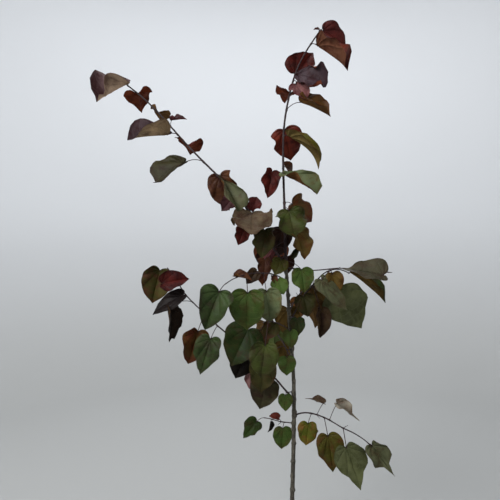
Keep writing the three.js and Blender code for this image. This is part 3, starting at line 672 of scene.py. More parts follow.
def limbMesh(heap, shoot, begin, end, nodes):
    look, isTrunk = limbLook, shoot["name"] == "trunk"
    sides = look["trunkSides"] if isTrunk else look["shootSides"]
    rings = max(look["leastRings"], round((end - begin) * shoot["length"] / look["ringEvery"]))
    shares = np.linspace(begin, end, rings)
    centres = roundedLine(lines[shoot["name"]], shares)
    angles = anglesRound(sides)
    out = ringDirections(centres, angles)
    base = np.array([limbRadius(shoot, share) for share in shares])
    run = shares * shoot["length"]
    if not isTrunk and begin == 0 and shoot["name"] != "leader":
        past = np.maximum(run - look["collarStart"], 0)
        base = base * (1 + look["collar"] * np.exp(-past / look["collarLength"]))
    radii = base[:, None] * np.ones(sides)
    swell = shoot["thick"][0] / look["usualThick"]
    for share, direction, size in nodes:
        gap = (run - share * shoot["length"]) / (look["nodeLength"] * vary(look["longer"], size))
        bell = np.exp(-gap ** 2)[:, None]
        facing = np.maximum(0, out @ direction)
        bulge = look["nodeHeight"] * facing ** 2 + look["nodeRing"]
        radii += bell * bulge * size * vary(look["higher"], swell)
    draw = drawsFor(shoot["name"] + " bark")
    for i in range(look["ridges"]):
        turns, pitch = 1 + i % 4, 1 / vary(look["ridgeLength"], draw())
        phase, depth = 2 * math.pi * draw(), look["grain"] * vary(look["ridgeDepth"], draw())
        wander = np.sin(2 * math.pi * run * pitch + phase)[:, None]
        ridge = np.sin(turns * angles[None, :] + look["sway"] * wander + phase)
        radii += depth * swell * ridge * vary(look["fade"], wander)
    if isTrunk:
        near = np.maximum(0, 1 - run / (look["buttressReach"] * limbRule["flareHeight"]))[:, None] ** 2
        lobes = np.sin(look["buttresses"] * angles + look["buttressTurn"])[None, :]
        radii += near * look["buttressDepth"] * lobes
    skinTube(heap, centres, radii, sides)


budLook = {
    "length": 3.6, "width": 1.15, "rings": 9, "sides": 9, "arc": (0.08, 0.92), "round": 0.62, "taper": 0.35,
    "scaleDepth": 0.1, "scaleWaves": 5, "leastRadius": 0.06,
}


# A bud is an egg pressed to the limb, with a pointed end and scale edges
def addBud(heap, foot, direction, size, slot):
    look = budLook
    t = np.linspace(0, 1, look["rings"])
    centres = foot + np.outer(t * look["length"] * size, direction)
    profile = np.sin(math.pi * np.clip(vary(look["arc"], t), 0, 1)) ** look["round"] * (1 - look["taper"] * t)
    scales = 1 + look["scaleDepth"] * np.sin(math.pi * look["scaleWaves"] * t)
    radii = np.maximum(look["leastRadius"], look["width"] * size * profile * scales)
    skinTube(heap, centres, radii, look["sides"], slot)


# ---- leaves ----

leafShape = {
    # lengths are shares of the blade's length, except for thickness and smallBlade
    # the outline is half of the heart, from the tip round to the notch
    "outline": [(1, 0), (0.97, 0.018), (0.93, 0.055), (0.86, 0.14), (0.75, 0.262), (0.61, 0.37),
                (0.44, 0.442), (0.27, 0.468), (0.1, 0.445), (-0.04, 0.352), (-0.108, 0.215),
                (-0.085, 0.085), (-0.005, 0.012)],
    "veinEnds": [0, 0.33, 0.55, 0.73, 0.88, 1],     # where the midrib and its fan of veins reach the margin
    "veinWidth": 0.014, "veinTaper": 0.5, "veinLeast": 0.12, "veinBow": 0.11, "midribMore": 0.6,
    "groove": 0.002, "grooveFade": 0.7, "ridge": 0.008, "ridgeFade": 0.75,
    "puff": 0.025, "puffPeak": 1.6, "ripple": 0.011, "ripplePeak": 2, "ripples": 5.5, "slant": 1.7,
    "thickness": 0.45, "foldRound": 0.03, "bellows": 0.13, "bellowsWaves": 9,
    "rollWidth": 0.46, "rollSize": (0.8, 0.5), "rollWaves": 3, "buckleFrom": 0.3, "hemFrom": 0.6,
    "hemRoom": 0.02,
    "tailFrom": 0.4, "tailLength": 0.25, "taperSlope": 1.8, "taperZero": 0.75, "bluntSqueeze": 0.2,
    "bendFrom": 0.5, "twistPower": 1.3, "upright": 0.02,
    "rays": 3, "rings": 20, "ringPower": 0.9, "smallBlade": 58, "smallRays": 2, "smallRings": 12,
}

# The waves of a blade, each (height, waves along the midrib or round the margin, waves across)
bladeWaves = {
    "buckles": ((1, 7.5, 0), (0.7, 13, -4), (0.5, 4, 9)),
    "hem": ((1, 5.5, 0), (0.6, 12, 0)), "hemLift": 0.25,
    "margin": ((1, 11, 0), (0.7, 25, 0)),
    "teeth": ((1, 83, 0), (1, 127, 0)),
    "sheet": ((1, 9, 0), (0.6, 19, 0)),
}

# Slopes are worked out for a grid over each half of the blade, and looked up in it
bladeTable = {"back": -0.16, "rows": 40, "columns": 60, "width": 0.62}


def waves(kind, phases, u, v=0):
    return sum(height * np.sin(along * u + across * v + phase)
               for (height, along, across), phase in zip(bladeWaves[kind], phases))


outlinePoints = np.array(leafShape["outline"], float)
outline = roundedLine(outlinePoints, np.linspace(0, 1, 12 * len(outlinePoints)))
outlineRun = np.concatenate([[0], np.cumsum(np.linalg.norm(np.diff(outline, axis=0), axis=1))])
outlineLength = outlineRun[-1]
outerHalf = outline[:np.argmin(outline[:, 0]) + 1][::-1]


# Rays fan out from the stalk, with three close together on each vein. Columns go round from one side
# of the notch by the tip to the other
def leafGrid(rays, rings):
    ends = leafShape["veinEnds"]
    reach = (np.arange(1, rings + 1) / rings) ** leafShape["ringPower"]
    width = leafShape["veinWidth"] / 2 * (1 - leafShape["veinTaper"] * reach)
    half = width / (outlineLength * np.maximum(reach, leafShape["veinLeast"]))
    places, veins = [np.zeros(rings)], [1.0]
    for i in range(len(ends) - 1):
        isLast = i == len(ends) - 2
        low = ends[i] + half
        high = np.ones(rings) if isLast else ends[i + 1] - half
        for step in range(rays + 2):
            places.append(low + (high - low) * step / (rays + 1))
            veins.append(0.0)
        if not isLast:
            places.append(np.full(rings, ends[i + 1]))
            veins.append(1.0)
    count = len(places)
    order = list(range(count - 1, 0, -1)) + list(range(count))
    side = np.array([1.0] * (count - 1) + [0.0] + [-1.0] * (count - 1))
    place = np.array(places)[order]
    return {"place": place, "reach": reach, "side": side[:, None], "vein": np.array(veins)[order][:, None],
            "sector": np.interp(place, ends, range(len(ends))), "columns": len(order), "rings": rings}


fullGrid = leafGrid(leafShape["rays"], leafShape["rings"])
smallGrid = leafGrid(leafShape["smallRays"], leafShape["smallRings"])

leafVariety = {
    "roll": (6, 16), "rollFold": 0.3, "flatFold": 20, "wave": (0.010, 0.014), "waveCrumple": (0.4, 0.6),
    "buckle": (6, 9), "hem": (16, 18), "twist": 16, "sway": 0.09, "bend": (0.6, 0.8), "puff": (0.75, 0.5),
    "edge": (0.008, 0.008), "edgeCrumple": 0.012, "edgeRagged": 0.03,
    "curl": (0.8, 0.4), "fold": (0.92, 0.16),
}


# How one leaf differs from the next. The order of the draws decides every leaf's look, so the
# first three and the last two of the swings are drawn and left
def leafCharacter(name, index, entry, shoot):
    rule, draw = leafVariety, drawsFor(f"{name} leaf {index}")
    twist, sway = [draw() - 0.5 for _ in range(7)][3:5]
    crumple = entry["crumple"] * shoot.get("crumple", 1)
    moreRoll = rule["rollFold"] * max(0, entry["fold"] - rule["flatFold"])
    return {
        "roll": math.radians(vary(rule["roll"], draw()) + moreRoll),
        "wave": vary(rule["wave"], draw()) * vary(rule["waveCrumple"], crumple),
        "buckle": math.radians(vary(rule["buckle"], draw())) * crumple,
        "hem": math.radians(vary(rule["hem"], draw())) * crumple,
        "phases": [2 * math.pi * draw() for _ in range(8)],
        "twist": math.radians(rule["twist"] * twist),
        "sway": rule["sway"] * sway,
        "bend": math.radians(entry["bend"] * vary(rule["bend"], draw())),
        "puff": vary(rule["puff"], draw()),
        "edge": (vary(rule["edge"], draw()) + rule["edgeCrumple"] * (crumple - 1)
                 + rule["edgeRagged"] * entry["ragged"]),
    }


def ease(value):
    value = np.clip(value, 0, 1)
    return value * value * (3 - 2 * value)


# Values of a table at fractional rows and columns
def lookUp(table, row, column):
    row = np.clip(row, 0, table.shape[0] - 1.001)
    column = np.clip(column, 0, table.shape[1] - 1.001)
    i, j = row.astype(int), column.astype(int)
    a, b = row - i, column - j
    return ((table[i, j] * (1 - a) + table[i + 1, j] * a) * (1 - b)
            + (table[i, j + 1] * (1 - a) + table[i + 1, j + 1] * a) * b)


def runningSum(slopes, step, axis):
    middle = (np.take(slopes, range(1, slopes.shape[axis]), axis)
              + np.take(slopes, range(slopes.shape[axis] - 1), axis)) / 2 * step
    return np.concatenate([np.zeros_like(np.take(slopes, [0], axis)), np.cumsum(middle, axis)], axis)


# How steeply one half of the blade rises from the midrib, at every place on it
def halfSlopes(entry, fold, character, half, u, v):
    shape = leafShape
    p = character["phases"][0 if half > 0 else 4:][:4]
    fold = fold * (1 + entry["pinch"] * (1 - 2 * u))
    slope = fold * (1 - np.exp(-v / shape["foldRound"]))
    roll = vary(shape["rollSize"], np.sin(shape["rollWaves"] * u + p[0]))
    slope = slope - character["roll"] * (v / shape["rollWidth"]) ** 2 * roll
    slope = slope + character["buckle"] * waves("buckles", p[1:], u, v) * ease(v / shape["buckleFrom"])
    # the margin rolls up here and down there
    margin = np.interp(u, outerHalf[:, 0], outerHalf[:, 1]) * entry["breadth"] + shape["hemRoom"]
    rolls = waves("hem", (p[2], p[1]), u) + bladeWaves["hemLift"]
    return slope + character["hem"] * rolls * ease((v / margin - shape["hemFrom"]) / (1 - shape["hemFrom"]))


# The blade's points in its own frame: x along the midrib, y across and z out of the upper side
def bladePoints(grid, entry, folds, curl, twist, character, backSide, level):
    shape, table = leafShape, bladeTable
    length = entry["blade"][0]
    s, side, t, sector = grid["reach"][None, :], grid["side"], grid["place"], grid["sector"]
    turn = side * t         # from -1 to 1 round the margin, 0 at the tip
    phases = character["phases"]
    teeth = entry["ragged"] * waves("teeth", phases[2:], turn)
    edge = 1 + character["edge"] * (waves("margin", phases, turn) + teeth)
    run = t * outlineLength
    bx = np.interp(run, outlineRun, outline[:, 0]) * edge
    by = np.interp(run, outlineRun, outline[:, 1]) * edge * entry["breadth"]
    widening = entry["taper"] + entry["flare"] * (side == backSide)
    tail = 1 - entry["tail"] * ease((bx - shape["tailFrom"]) / shape["tailLength"])
    by = by * tail * (1 + widening * (shape["taperSlope"] * bx - shape["taperZero"]))
    blunt = 1 - entry["blunt"]
    bx = np.where(bx > blunt, blunt + shape["bluntSqueeze"] * (bx - 1 + entry["blunt"]), bx)
    # each ray bows forwards on its way from the stalk to the margin
    far = np.hypot(bx, by) + 1e-9
    cx = 0.5 * bx - shape["veinBow"] * by * by / far
    cy = 0.5 * by + shape["veinBow"] * by * bx / far
    x = 2 * (1 - s) * s * cx + s * s * bx
    across = np.maximum(0, 2 * (1 - s) * s * cy + s * s * by)
    # the sheet puffs up between the veins, with fine ripples
    inSector = np.clip(sector - np.floor(sector + 1e-9), 0, 1)
    bulge = np.sin(math.pi * inSector)
    puff = shape["puff"] * character["puff"] * bulge * s * (1 - s ** 3) * shape["puffPeak"]
    stripes = np.cos(2 * math.pi * (shape["ripples"] * s - shape["slant"] * inSector))
    puff = puff + shape["ripple"] * stripes * bulge * np.sqrt(s * (1.02 - s)) * shape["ripplePeak"]
    wave = character["wave"] * s ** 3 * waves("sheet", phases[3:], turn)
    vein = grid["vein"] * ((side == 0) * shape["midribMore"] + 1)
    cut = shape["groove"] * (1 - shape["grooveFade"] * s) * vein
    rib = shape["ridge"] * (1 - shape["ridgeFade"] * s) * vein
    height = puff + wave - cut + level * shape["thickness"] / 2 / length - (0 if level > 0 else rib)
    # the cross-section: each half rises from the midrib by its own slopes
    u = np.linspace(table["back"], 1, table["rows"])[:, None]
    v = np.linspace(0, table["width"] * max(1, entry["breadth"]), table["columns"])[None, :]
    row = (x - table["back"]) / (1 - table["back"]) * (table["rows"] - 1)
    column = across / v[0, 1]
    y, z = np.zeros_like(x), np.zeros_like(x)
    for half, fold in zip((1, -1), folds):
        slopes = halfSlopes(entry, fold, character, half, u, v)
        lateral = lookUp(runningSum(np.cos(slopes), v[0, 1], 1), row, column)
        lift = lookUp(runningSum(np.sin(slopes), v[0, 1], 1), row, column)
        tilt = lookUp(slopes * np.minimum(1, v / shape["upright"]), row, column)
        mine = (side == half) * np.ones_like(x)
        y += mine * half * (lateral - height * np.sin(tilt))
        z += mine * (lift + height * np.cos(tilt))
    z += (side == 0) * height
    # the midrib curls down, hooks at the tip and sways, and the blade twists about it
    u = u[:, 0]
    hook = character["bend"] * ease((u - shape["bendFrom"]) / (1 - shape["bendFrom"]))
    droop = -2 * curl * np.maximum(0, u) - hook
    droop = droop + shape["bellows"] * character["buckle"] * np.sin(shape["bellowsWaves"] * u + phases[4])
    ahead = runningSum(np.cos(droop), u[1] - u[0], 0)
    fall = runningSum(np.sin(droop), u[1] - u[0], 0)
    start = np.interp(0, u, np.arange(table["rows"]))       # the stalk's row
    zero = (np.interp(start, range(table["rows"]), ahead), np.interp(start, range(table["rows"]), fall))
    along = np.interp(x, u, ahead - zero[0])
    down = np.interp(x, u, fall - zero[1])
    slopeHere = np.interp(x, u, droop)
    turned = twist * np.maximum(0, x) ** shape["twistPower"]
    y, z = y * np.cos(turned) - z * np.sin(turned), y * np.sin(turned) + z * np.cos(turned)
    y = y + character["sway"] * np.maximum(0, x) ** 2
    points = np.stack([along - z * np.sin(slopeHere), y, down + z * np.cos(slopeHere)], -1) * length
    return points, np.stack([x, side * across], -1)


# Where a blade lies in its cell of the bake map, as shares of the cell
bakeCell = {"middle": 0.5, "margin": 0.06, "stalk": 0.11, "size": 0.8}


# Adds one leaf, a closed thin blade with its own upper side, underside and rim
def addLeaf(heap, entry, foot, curl, fold, character, slots, island, islands):
    grid = fullGrid if entry["blade"][0] >= leafShape["smallBlade"] else smallGrid
    columns, rings = grid["columns"], grid["rings"]
    midrib = heading(*entry["blade"][1:])
    face = heading(*entry["face"])
    upper = unit(face - midrib * np.dot(face, midrib))
    axes = np.stack([midrib, np.cross(upper, midrib), upper])
    # the first half is the back one where the side direction points to the back
    backSide = -1 if axes[1][1] < 0 else 1
    front = fold if entry["front"] is None else math.radians(entry["front"])
    folds = (front, fold) if backSide < 0 else (fold, front)
    twist = character["twist"] + math.radians(entry["twist"]) * backSide
    cells = math.ceil(math.sqrt(islands))
    spread = bakeCell["size"] / max(1.0, entry["breadth"])
    sides = []
    for level, slot in ((1, slots[0]), (-1, slots[1])):
        local, flat = bladePoints(grid, entry, folds, curl, twist, character, backSide, level)
        local = np.vstack([[[0, 0, level * leafShape["thickness"] / 2]], local.reshape(-1, 3)])
        cell = island * 2 + (level < 0)
        corner = np.array([cell % cells + bakeCell["middle"], cell // cells + bakeCell["margin"]])
        flat = np.vstack([[[0, 0]], flat.reshape(-1, 2)])
        spots = (corner + np.stack([flat[:, 1], flat[:, 0] + bakeCell["stalk"]], -1) * spread) / cells
        sides.append((local @ axes + foot, spots, slot))
    count = 1 + columns * rings
    grown = np.arange(columns * rings).reshape(columns, rings) + 1
    a, b = grown[:-1, :-1], grown[:-1, 1:]
    c, d = grown[1:, 1:], grown[1:, :-1]
    quads = np.stack([a, d, c, b], -1).reshape(-1, 4)
    fan = np.stack([np.zeros(columns - 1, int), grown[1:, 0], grown[:-1, 0]], -1)
    for number, (_, spots, slot) in enumerate(sides):
        turned = quads if number == 0 else quads[:, [0, 3, 2, 1]]     # both split along the same diagonal
        turnedFan = fan if number == 0 else fan[:, ::-1]
        addFaces(heap, "quads", turned + number * count, slot, spots[turned])
        addFaces(heap, "triangles", turnedFan + number * count, slot, spots[turnedFan])
    # the rim, and the two short edges at the notch
    edge = grown[:, -1]
    first = np.concatenate([[0], grown[0]])
    last = np.concatenate([[0], grown[-1]])
    starts = np.concatenate([edge[:-1], first[:-1], last[1:]])
    stops = np.concatenate([edge[1:], first[1:], last[:-1]])
    rim = np.stack([starts, stops, stops + count, starts + count], -1)
    spots = sides[0][1]
    rimSpots = np.stack([spots[starts], spots[stops], spots[stops], spots[starts]], 1)
    addFaces(heap, "quads", rim, slots[0], rimSpots)
    place = (np.vstack([sides[0][0], sides[1][0]]) + [0, 0, groundLevel]) * mm
    reach = np.concatenate([[0], np.tile(grid["reach"], columns)])
    vein = np.concatenate([[1], (grid["vein"] * np.ones(rings)).ravel()])
    sector = np.concatenate([[0], grid["sector"].ravel()])
    addPoints(heap, place, reach=np.tile(reach, 2), vein=np.tile(vein, 2), sector=np.tile(sector, 2))


# Leaves by rule: on alternate sides of the shoot, hanging and turned outwards
def seededLeaves(shoot, draw):
    rule = leafRule
    leaves = []
    for i in range(shoot["seeded"]):
        at = between(rule["at"], i / (shoot["seeded"] - 1))
        out = valueAlong(shoot["bearing"], at)
        side = 1 if i % 2 == 0 else -1
        stalkBearing = out + side * between(rule["swing"], at)
        bladeLength = between(shoot["bladeSizes"], draw())
        stalk = [between(rule["stalkLength"], draw()), stalkBearing, between(rule["stalkLean"], draw())]
        blade = [bladeLength, stalkBearing - side * rule["bladeTurn"], between(rule["bladeLean"], draw())]
        face = [out + side * rule["faceTurn"], rule["faceLean"]]
        tint = shoot["tints"][i % len(shoot["tints"])]
        leaves.append(leaf(at, stalk, blade, face, between(rule["fold"], draw()), tint))
    return leaves


stalkLook = {
    "radius": 0.95, "swollen": 0.5, "sag": 0.16, "sides": 8, "rings": 16, "into": 2.5,
    "footLength": 2.6, "kneeLength": 3.2, "knee": 0.8, "lastRing": 0.45,
    "size": (0.55, 1.15), "fullBlade": 180,     # the least and the most, and how it grows with the blade
}


# A thin stalk that sags a little, thicker where it leaves the twig and where it carries the blade.
# It runs on into the midrib, where it thins out
def addStalk(heap, root, tip, entry, midrib, slot):
    look = stalkLook
    size = min(look["size"][1], look["size"][0] + entry["blade"][0] / look["fullBlade"])
    middle = (root + tip) / 2
    middle[2] += look["sag"] * entry["stalk"][0] * math.sin(math.radians(entry["stalk"][2]))
    t = np.linspace(0, 1, look["rings"])[:, None]
    control = 2 * middle - (root + tip) / 2
    centres = (1 - t) ** 2 * root + 2 * (1 - t) * t * control + t ** 2 * tip
    into = tip + midrib * look["into"]
    centres = np.vstack([centres, [(tip + into) / 2, into]])
    length = np.linalg.norm(tip - root)
    run = np.concatenate([t[:, 0], [1.0, 1.0]]) * length
    ends = (np.exp(-(run / look["footLength"]) ** 2)
            + look["knee"] * np.exp(-((length - run) / look["kneeLength"]) ** 2))
    radii = look["radius"] * size * (1 + look["swollen"] * ends)
    radii[-1] *= look["lastRing"]
    skinTube(heap, centres, radii, look["sides"], slot)


# ---- finishes of leaves and bark ----

# Each tint: the blade, what it flushes to in blotches and along the rim, its veins, its underside
leafTints = {
    "green": ((58, 77, 30), (64, 62, 27), (86, 100, 50), (79, 90, 50)),
    "deepGreen": ((30, 45, 13), (44, 37, 15), (58, 70, 30), (83, 64, 30)),
    "yellowGreen": ((79, 83, 21), (104, 70, 28), (100, 102, 39), (96, 100, 46)),
    "coolGreen": ((47, 61, 30), (49, 46, 29), (72, 86, 52), (70, 78, 48)),
    "dullGreen": ((56, 64, 25), (58, 49, 27), (88, 94, 48), (79, 81, 50)),
    # painted sheen: a green blade paled towards grey, standing in for the glossy sheen on these leaves
    "greyGreen": ((89, 98, 66), (83, 72, 41), (110, 116, 82), (92, 60, 34)),
    "sage": ((78, 81, 51), (60, 63, 34), (101, 104, 76), (83, 77, 46)),
    "stone": ((63, 60, 43), (62, 51, 37), (89, 87, 67), (83, 58, 30)),
    "pewter": ((78, 80, 56), (64, 53, 34), (94, 96, 65), (96, 62, 32)),
    "olive": ((72, 68, 21), (83, 53, 23), (94, 90, 37), (98, 83, 48)),
    "moss": ((56, 56, 13), (60, 41, 15), (77, 75, 28), (77, 72, 34)),
    "fern": ((51, 58, 21), (53, 47, 23), (77, 83, 41), (75, 77, 43)),
    "umber": ((82, 65, 26), (80, 45, 20), (100, 80, 38), (86, 64, 34)),
    "darkOlive": ((43, 43, 15), (53, 35, 16), (66, 62, 27), (70, 64, 35)),
    "bronzeGreen": ((58, 56, 21), (72, 41, 25), (81, 72, 35), (90, 68, 39)),
    "bronze": ((74, 50, 21), (80, 33, 18), (96, 68, 32), (94, 67, 36)),
    "brown": ((69, 39, 20), (54, 23, 15), (90, 58, 34), (108, 72, 39)),
    "darkBrown": ((51, 37, 20), (41, 22, 15), (72, 51, 30), (79, 58, 34)),
    "greyBrown": ((86, 72, 54), (66, 41, 30), (104, 92, 69), (106, 86, 56)),
    "redBrown": ((88, 31, 18), (56, 16, 12), (104, 51, 32), (113, 73, 54)),
    "burgundy": ((70, 18, 11), (38, 10, 7), (90, 35, 25), (102, 47, 27)),
    "maroon": ((75, 25, 21), (45, 13, 14), (98, 47, 39), (102, 58, 39)),
    "purple": ((64, 37, 39), (49, 20, 23), (86, 60, 59), (118, 68, 69)),
    "slate": ((65, 49, 52), (52, 27, 29), (88, 73, 76), (156, 131, 100)),
    # painted light: a lighter copy of slate, blade and underside, for the left shoot's tip leaf, which the
    # lamps leave in shade
    "mauve": ((100, 76, 76), (72, 42, 42), (124, 106, 106), (174, 148, 124)),
    "plum": ((60, 46, 50), (48, 23, 24), (81, 65, 69), (106, 54, 36)),
    "smoke": ((22, 15, 13), (22, 14, 14), (39, 31, 29), (43, 34, 32)),
    "nightPurple": ((44, 23, 14), (28, 13, 9), (43, 26, 21), (56, 33, 23)),
    "char": ((28, 16, 7), (18, 9, 4), (51, 37, 23), (56, 41, 26)),
    "nearBlack": ((20, 15, 9), (14, 9, 6), (33, 26, 16), (39, 30, 19)),
    "rose": ((110, 72, 70), (86, 40, 42), (128, 92, 88), (122, 90, 86)),
    "dusk": ((47, 44, 24), (43, 28, 18), (68, 65, 45), (66, 59, 38)),
    "ash": ((128, 121, 107), (102, 84, 68), (142, 136, 122), (146, 140, 125)),
}

# In the finishes a noise is its scale, detail, roughness and distortion, and a span is the two values
# it eases between, with what they become where that isn't 0 and 1
leafFinish = {
    "blotch": (42, 4, 0.6, 0.4), "cloud": (16, 2), "speckle": (420, 3), "net": 330,
    "sideVeins": 5.5, "sideSlant": 1.7,
    "blotchSpan": (0.42, 0.66), "rimSpan": (0.8, 1.0), "rimShare": 0.45,
    "paleSpan": (0.45, 0.7, 0.0, 0.45), "pale": (1.4, 8), "darkSpan": (0.26, 0.45, 0.4, 0.0), "dark": 0.6,
    "lineSpan": (0.0, 0.09, 1.0, 0.0), "mainSpan": (0.25, 0.95), "sideShare": 0.45, "netShare": 0.16,
    "speckSpan": (0.35, 0.75, 0.0, 0.16), "speckTone": 0.55, "speckHeight": 0.5,
    "relief": (0.0006, 0.8),
    # the veins are sunk above and stand out below
    "upper": {"veinShare": 0.75, "rise": -1, "roughness": (0.3, 0.7, 0.4, 0.56), "shine": 0.12},
    "under": {"veinShare": 0.6, "rise": 1, "roughness": (0.3, 0.7, 0.66, 0.8), "shine": 0.05},
    # the underside's flush is made from its tint and the upper flush, its veins from its tint
    "underFlush": (0.6, 0.32), "underVeins": 0.72,
}


def leafMaterial(name, blade, flush, veins, side):
    look, m = leafFinish, nodeMaker(name)
    place = m.place()
    reach, vein, sector = m.trait("reach"), m.trait("vein"), m.trait("sector")
    blotch = m.noise(place, *look["blotch"])
    rim = m.span(reach, *look["rimSpan"])
    share = m.timesPlus(rim, look["rimShare"], m.span(blotch, *look["blotchSpan"]))
    base = m.mix(m.math("MINIMUM", share, 1.0), colour(*blade), colour(*flush))
    cloud = m.noise(place, *look["cloud"])
    base = m.mix(m.span(cloud, *look["paleSpan"]), base, shaded(blade, *look["pale"]))
    base = m.mix(m.span(cloud, *look["darkSpan"]), base, shaded(blade, look["dark"]))
    # fine side veins that leave the main ones forwards, and the net between them
    phase = m.math("SUBTRACT", m.times(reach, look["sideVeins"]),
                   m.times(m.math("FRACT", sector), look["sideSlant"]))
    line = m.math("ABSOLUTE", m.math("SUBTRACT", m.math("FRACT", phase), 0.5))
    sideVein = m.span(line, *look["lineSpan"])
    netLine = m.span(m.cells(place, look["net"]), *look["lineSpan"])
    lines = m.math("MAXIMUM", m.span(vein, *look["mainSpan"]), m.times(sideVein, look["sideShare"]))
    lines = m.math("MAXIMUM", lines, m.times(netLine, look["netShare"]))
    base = m.mix(m.times(lines, side["veinShare"]), base, colour(*veins))
    speck = m.noise(place, *look["speckle"])
    base = m.mix(m.span(speck, *look["speckSpan"]), base, shaded(blade, look["speckTone"]))
    roughness = m.span(blotch, *side["roughness"])
    height = m.timesPlus(lines, side["rise"], m.times(speck, look["speckHeight"]))
    return m.finish(base, roughness, height, look["relief"], side["shine"])


def leafMaterials():
    made, look = {}, leafFinish
    for name, (blade, flush, veins, under) in leafTints.items():
        underFlush = [look["underFlush"][0] * a + look["underFlush"][1] * b for a, b in zip(under, flush)]
        underVeins = [value * look["underVeins"] for value in under]
        made[name] = (leafMaterial(name + "Upper", blade, flush, veins, look["upper"]),
                      leafMaterial(name + "Under", under, underFlush, underVeins, look["under"]))
    return made


# Each bark: its main tone, the dark one, the pale one and how close together its pores are
barkTints = {
    "stem": ((86, 81, 70), (49, 44, 36), (132, 125, 111), 330),
    "shoot": ((58, 42, 42), (34, 22, 24), (98, 82, 80), 420),
    "stalk": ((62, 42, 40), (44, 26, 28), (88, 66, 60), 900),
    "bud": ((44, 26, 24), (30, 16, 16), (72, 50, 42), 900),
}

# Stretches are along the limb
barkFinish = {
    "streak": (420, 5, 0.6), "streakStretch": 0.16, "streakSpan": (0.36, 0.66), "streakHeight": 0.8,
    "patch": (90, 3), "patchStretch": 0.5, "patchSpan": (0.5, 0.72, 0.0, 0.55),
    "poreStretch": 0.55, "poreSpan": (0.12, 0.26, 1.0, 0.0), "poreShare": 0.6, "poreHeight": 0.7,
    "roughness": (0.3, 0.7, 0.55, 0.8), "relief": (0.0003, 0.8), "shine": 0.3,
}


# Bark with streaks along the limb and pale raised pores
def barkMaterial(name, main, dark, pale, poreScale):
    look, m = barkFinish, nodeMaker(name)
    limb = m.trait("bark", "Vector")
    streak = m.noise(m.place((1, 1, look["streakStretch"]), limb), *look["streak"])
    patch = m.noise(m.place((1, 1, look["patchStretch"]), limb), *look["patch"])
    base = m.mix(m.span(streak, *look["streakSpan"]), colour(*dark), colour(*main))
    base = m.mix(m.span(patch, *look["patchSpan"]), base, colour(*pale))
    pores = m.cells(m.place((1, 1, look["poreStretch"]), limb), poreScale, "F1")
    pore = m.span(pores, *look["poreSpan"])
    base = m.mix(m.times(pore, look["poreShare"]), base, colour(*pale))
    height = m.timesPlus(pore, look["poreHeight"], m.times(streak, look["streakHeight"]))
    return m.finish(base, m.span(streak, *look["roughness"]), height, look["relief"], look["shine"])


# ---- growing the plant ----

twigletLook = {
    "every": 3, "length": (7, 16), "rings": 10, "sides": 8, "radius": 0.62, "taper": 0.6, "foot": 1.5,
    "knuckle": 0.25, "knuckleWidth": 9, "lift": 0.9, "bend": 0.3, "hook": 0.35, "sunk": 0.4, "bud": 0.75,
}

# Dormant buds sink in a little and turn up. Those in the angle of a leaf, and the spurs there, lean to the
# shoot's end
budPlace = {
    "dormantSunk": 0.3, "dormantLift": 1.2, "dormantSize": 0.62, "endSize": 1.0,
    "axilLean": 1.3, "axilOut": 0.9, "axilSize": 0.62, "twigletTurn": 0.8, "lastAxil": 0.97,
}


# A short side spur with a bud, in the angle of some leaves
def addTwiglet(heap, root, direction, draw, slots):
    look = twigletLook
    reach = between(look["length"], draw())
    lift = unit(direction + [0, 0, look["lift"] * draw()])
    t = np.linspace(0, 1, look["rings"])[:, None]
    centres = root + t * reach * direction * (1 - look["bend"] * t) + look["hook"] * t ** 2 * reach * lift
    t = t[:, 0]
    knuckle = look["knuckle"] * np.exp(-((t - 0.5) * look["knuckleWidth"]) ** 2)
    radii = look["radius"] * (look["foot"] - look["taper"] * t + knuckle)
    skinTube(heap, centres, radii, look["sides"], slots[0])
    addBud(heap, centres[-1] - lift * look["sunk"], unit(centres[-1] - centres[-2]), look["bud"], slots[1])


# One leaf with its stalk, the bud in its angle and on some a spur there
def addLeafOnStalk(blades, twigs, shoot, entry, name, index, islands, slots, draw):
    points, rule = lines[shoot["name"]], leafVariety
    root = pointAlong(points, entry["at"])
    out = heading(*entry["stalk"][1:])
    radius = limbRadius(shoot, entry["at"])
    tip = root + out * (radius + entry["stalk"][0])
    addStalk(twigs, root, tip, entry, heading(*entry["blade"][1:]), 1)
    curl = entry["curl"] * vary(rule["curl"], draw())
    fold = math.radians(entry["fold"] * vary(rule["fold"], draw()))
    character = leafCharacter(name, index, entry, shoot)
    addLeaf(blades, entry, tip, curl, fold, character, slots, index, islands)
    ahead = directionAlong(points, min(entry["at"], budPlace["lastAxil"]))
    axil = unit(out + ahead * budPlace["axilLean"])
    addBud(twigs, root + axil * radius * budPlace["axilOut"], axil, budPlace["axilSize"], 2)
    if index % twigletLook["every"] == 1:
        addTwiglet(twigs, root, unit(ahead - out * budPlace["twigletTurn"]), draw, (0, 2))


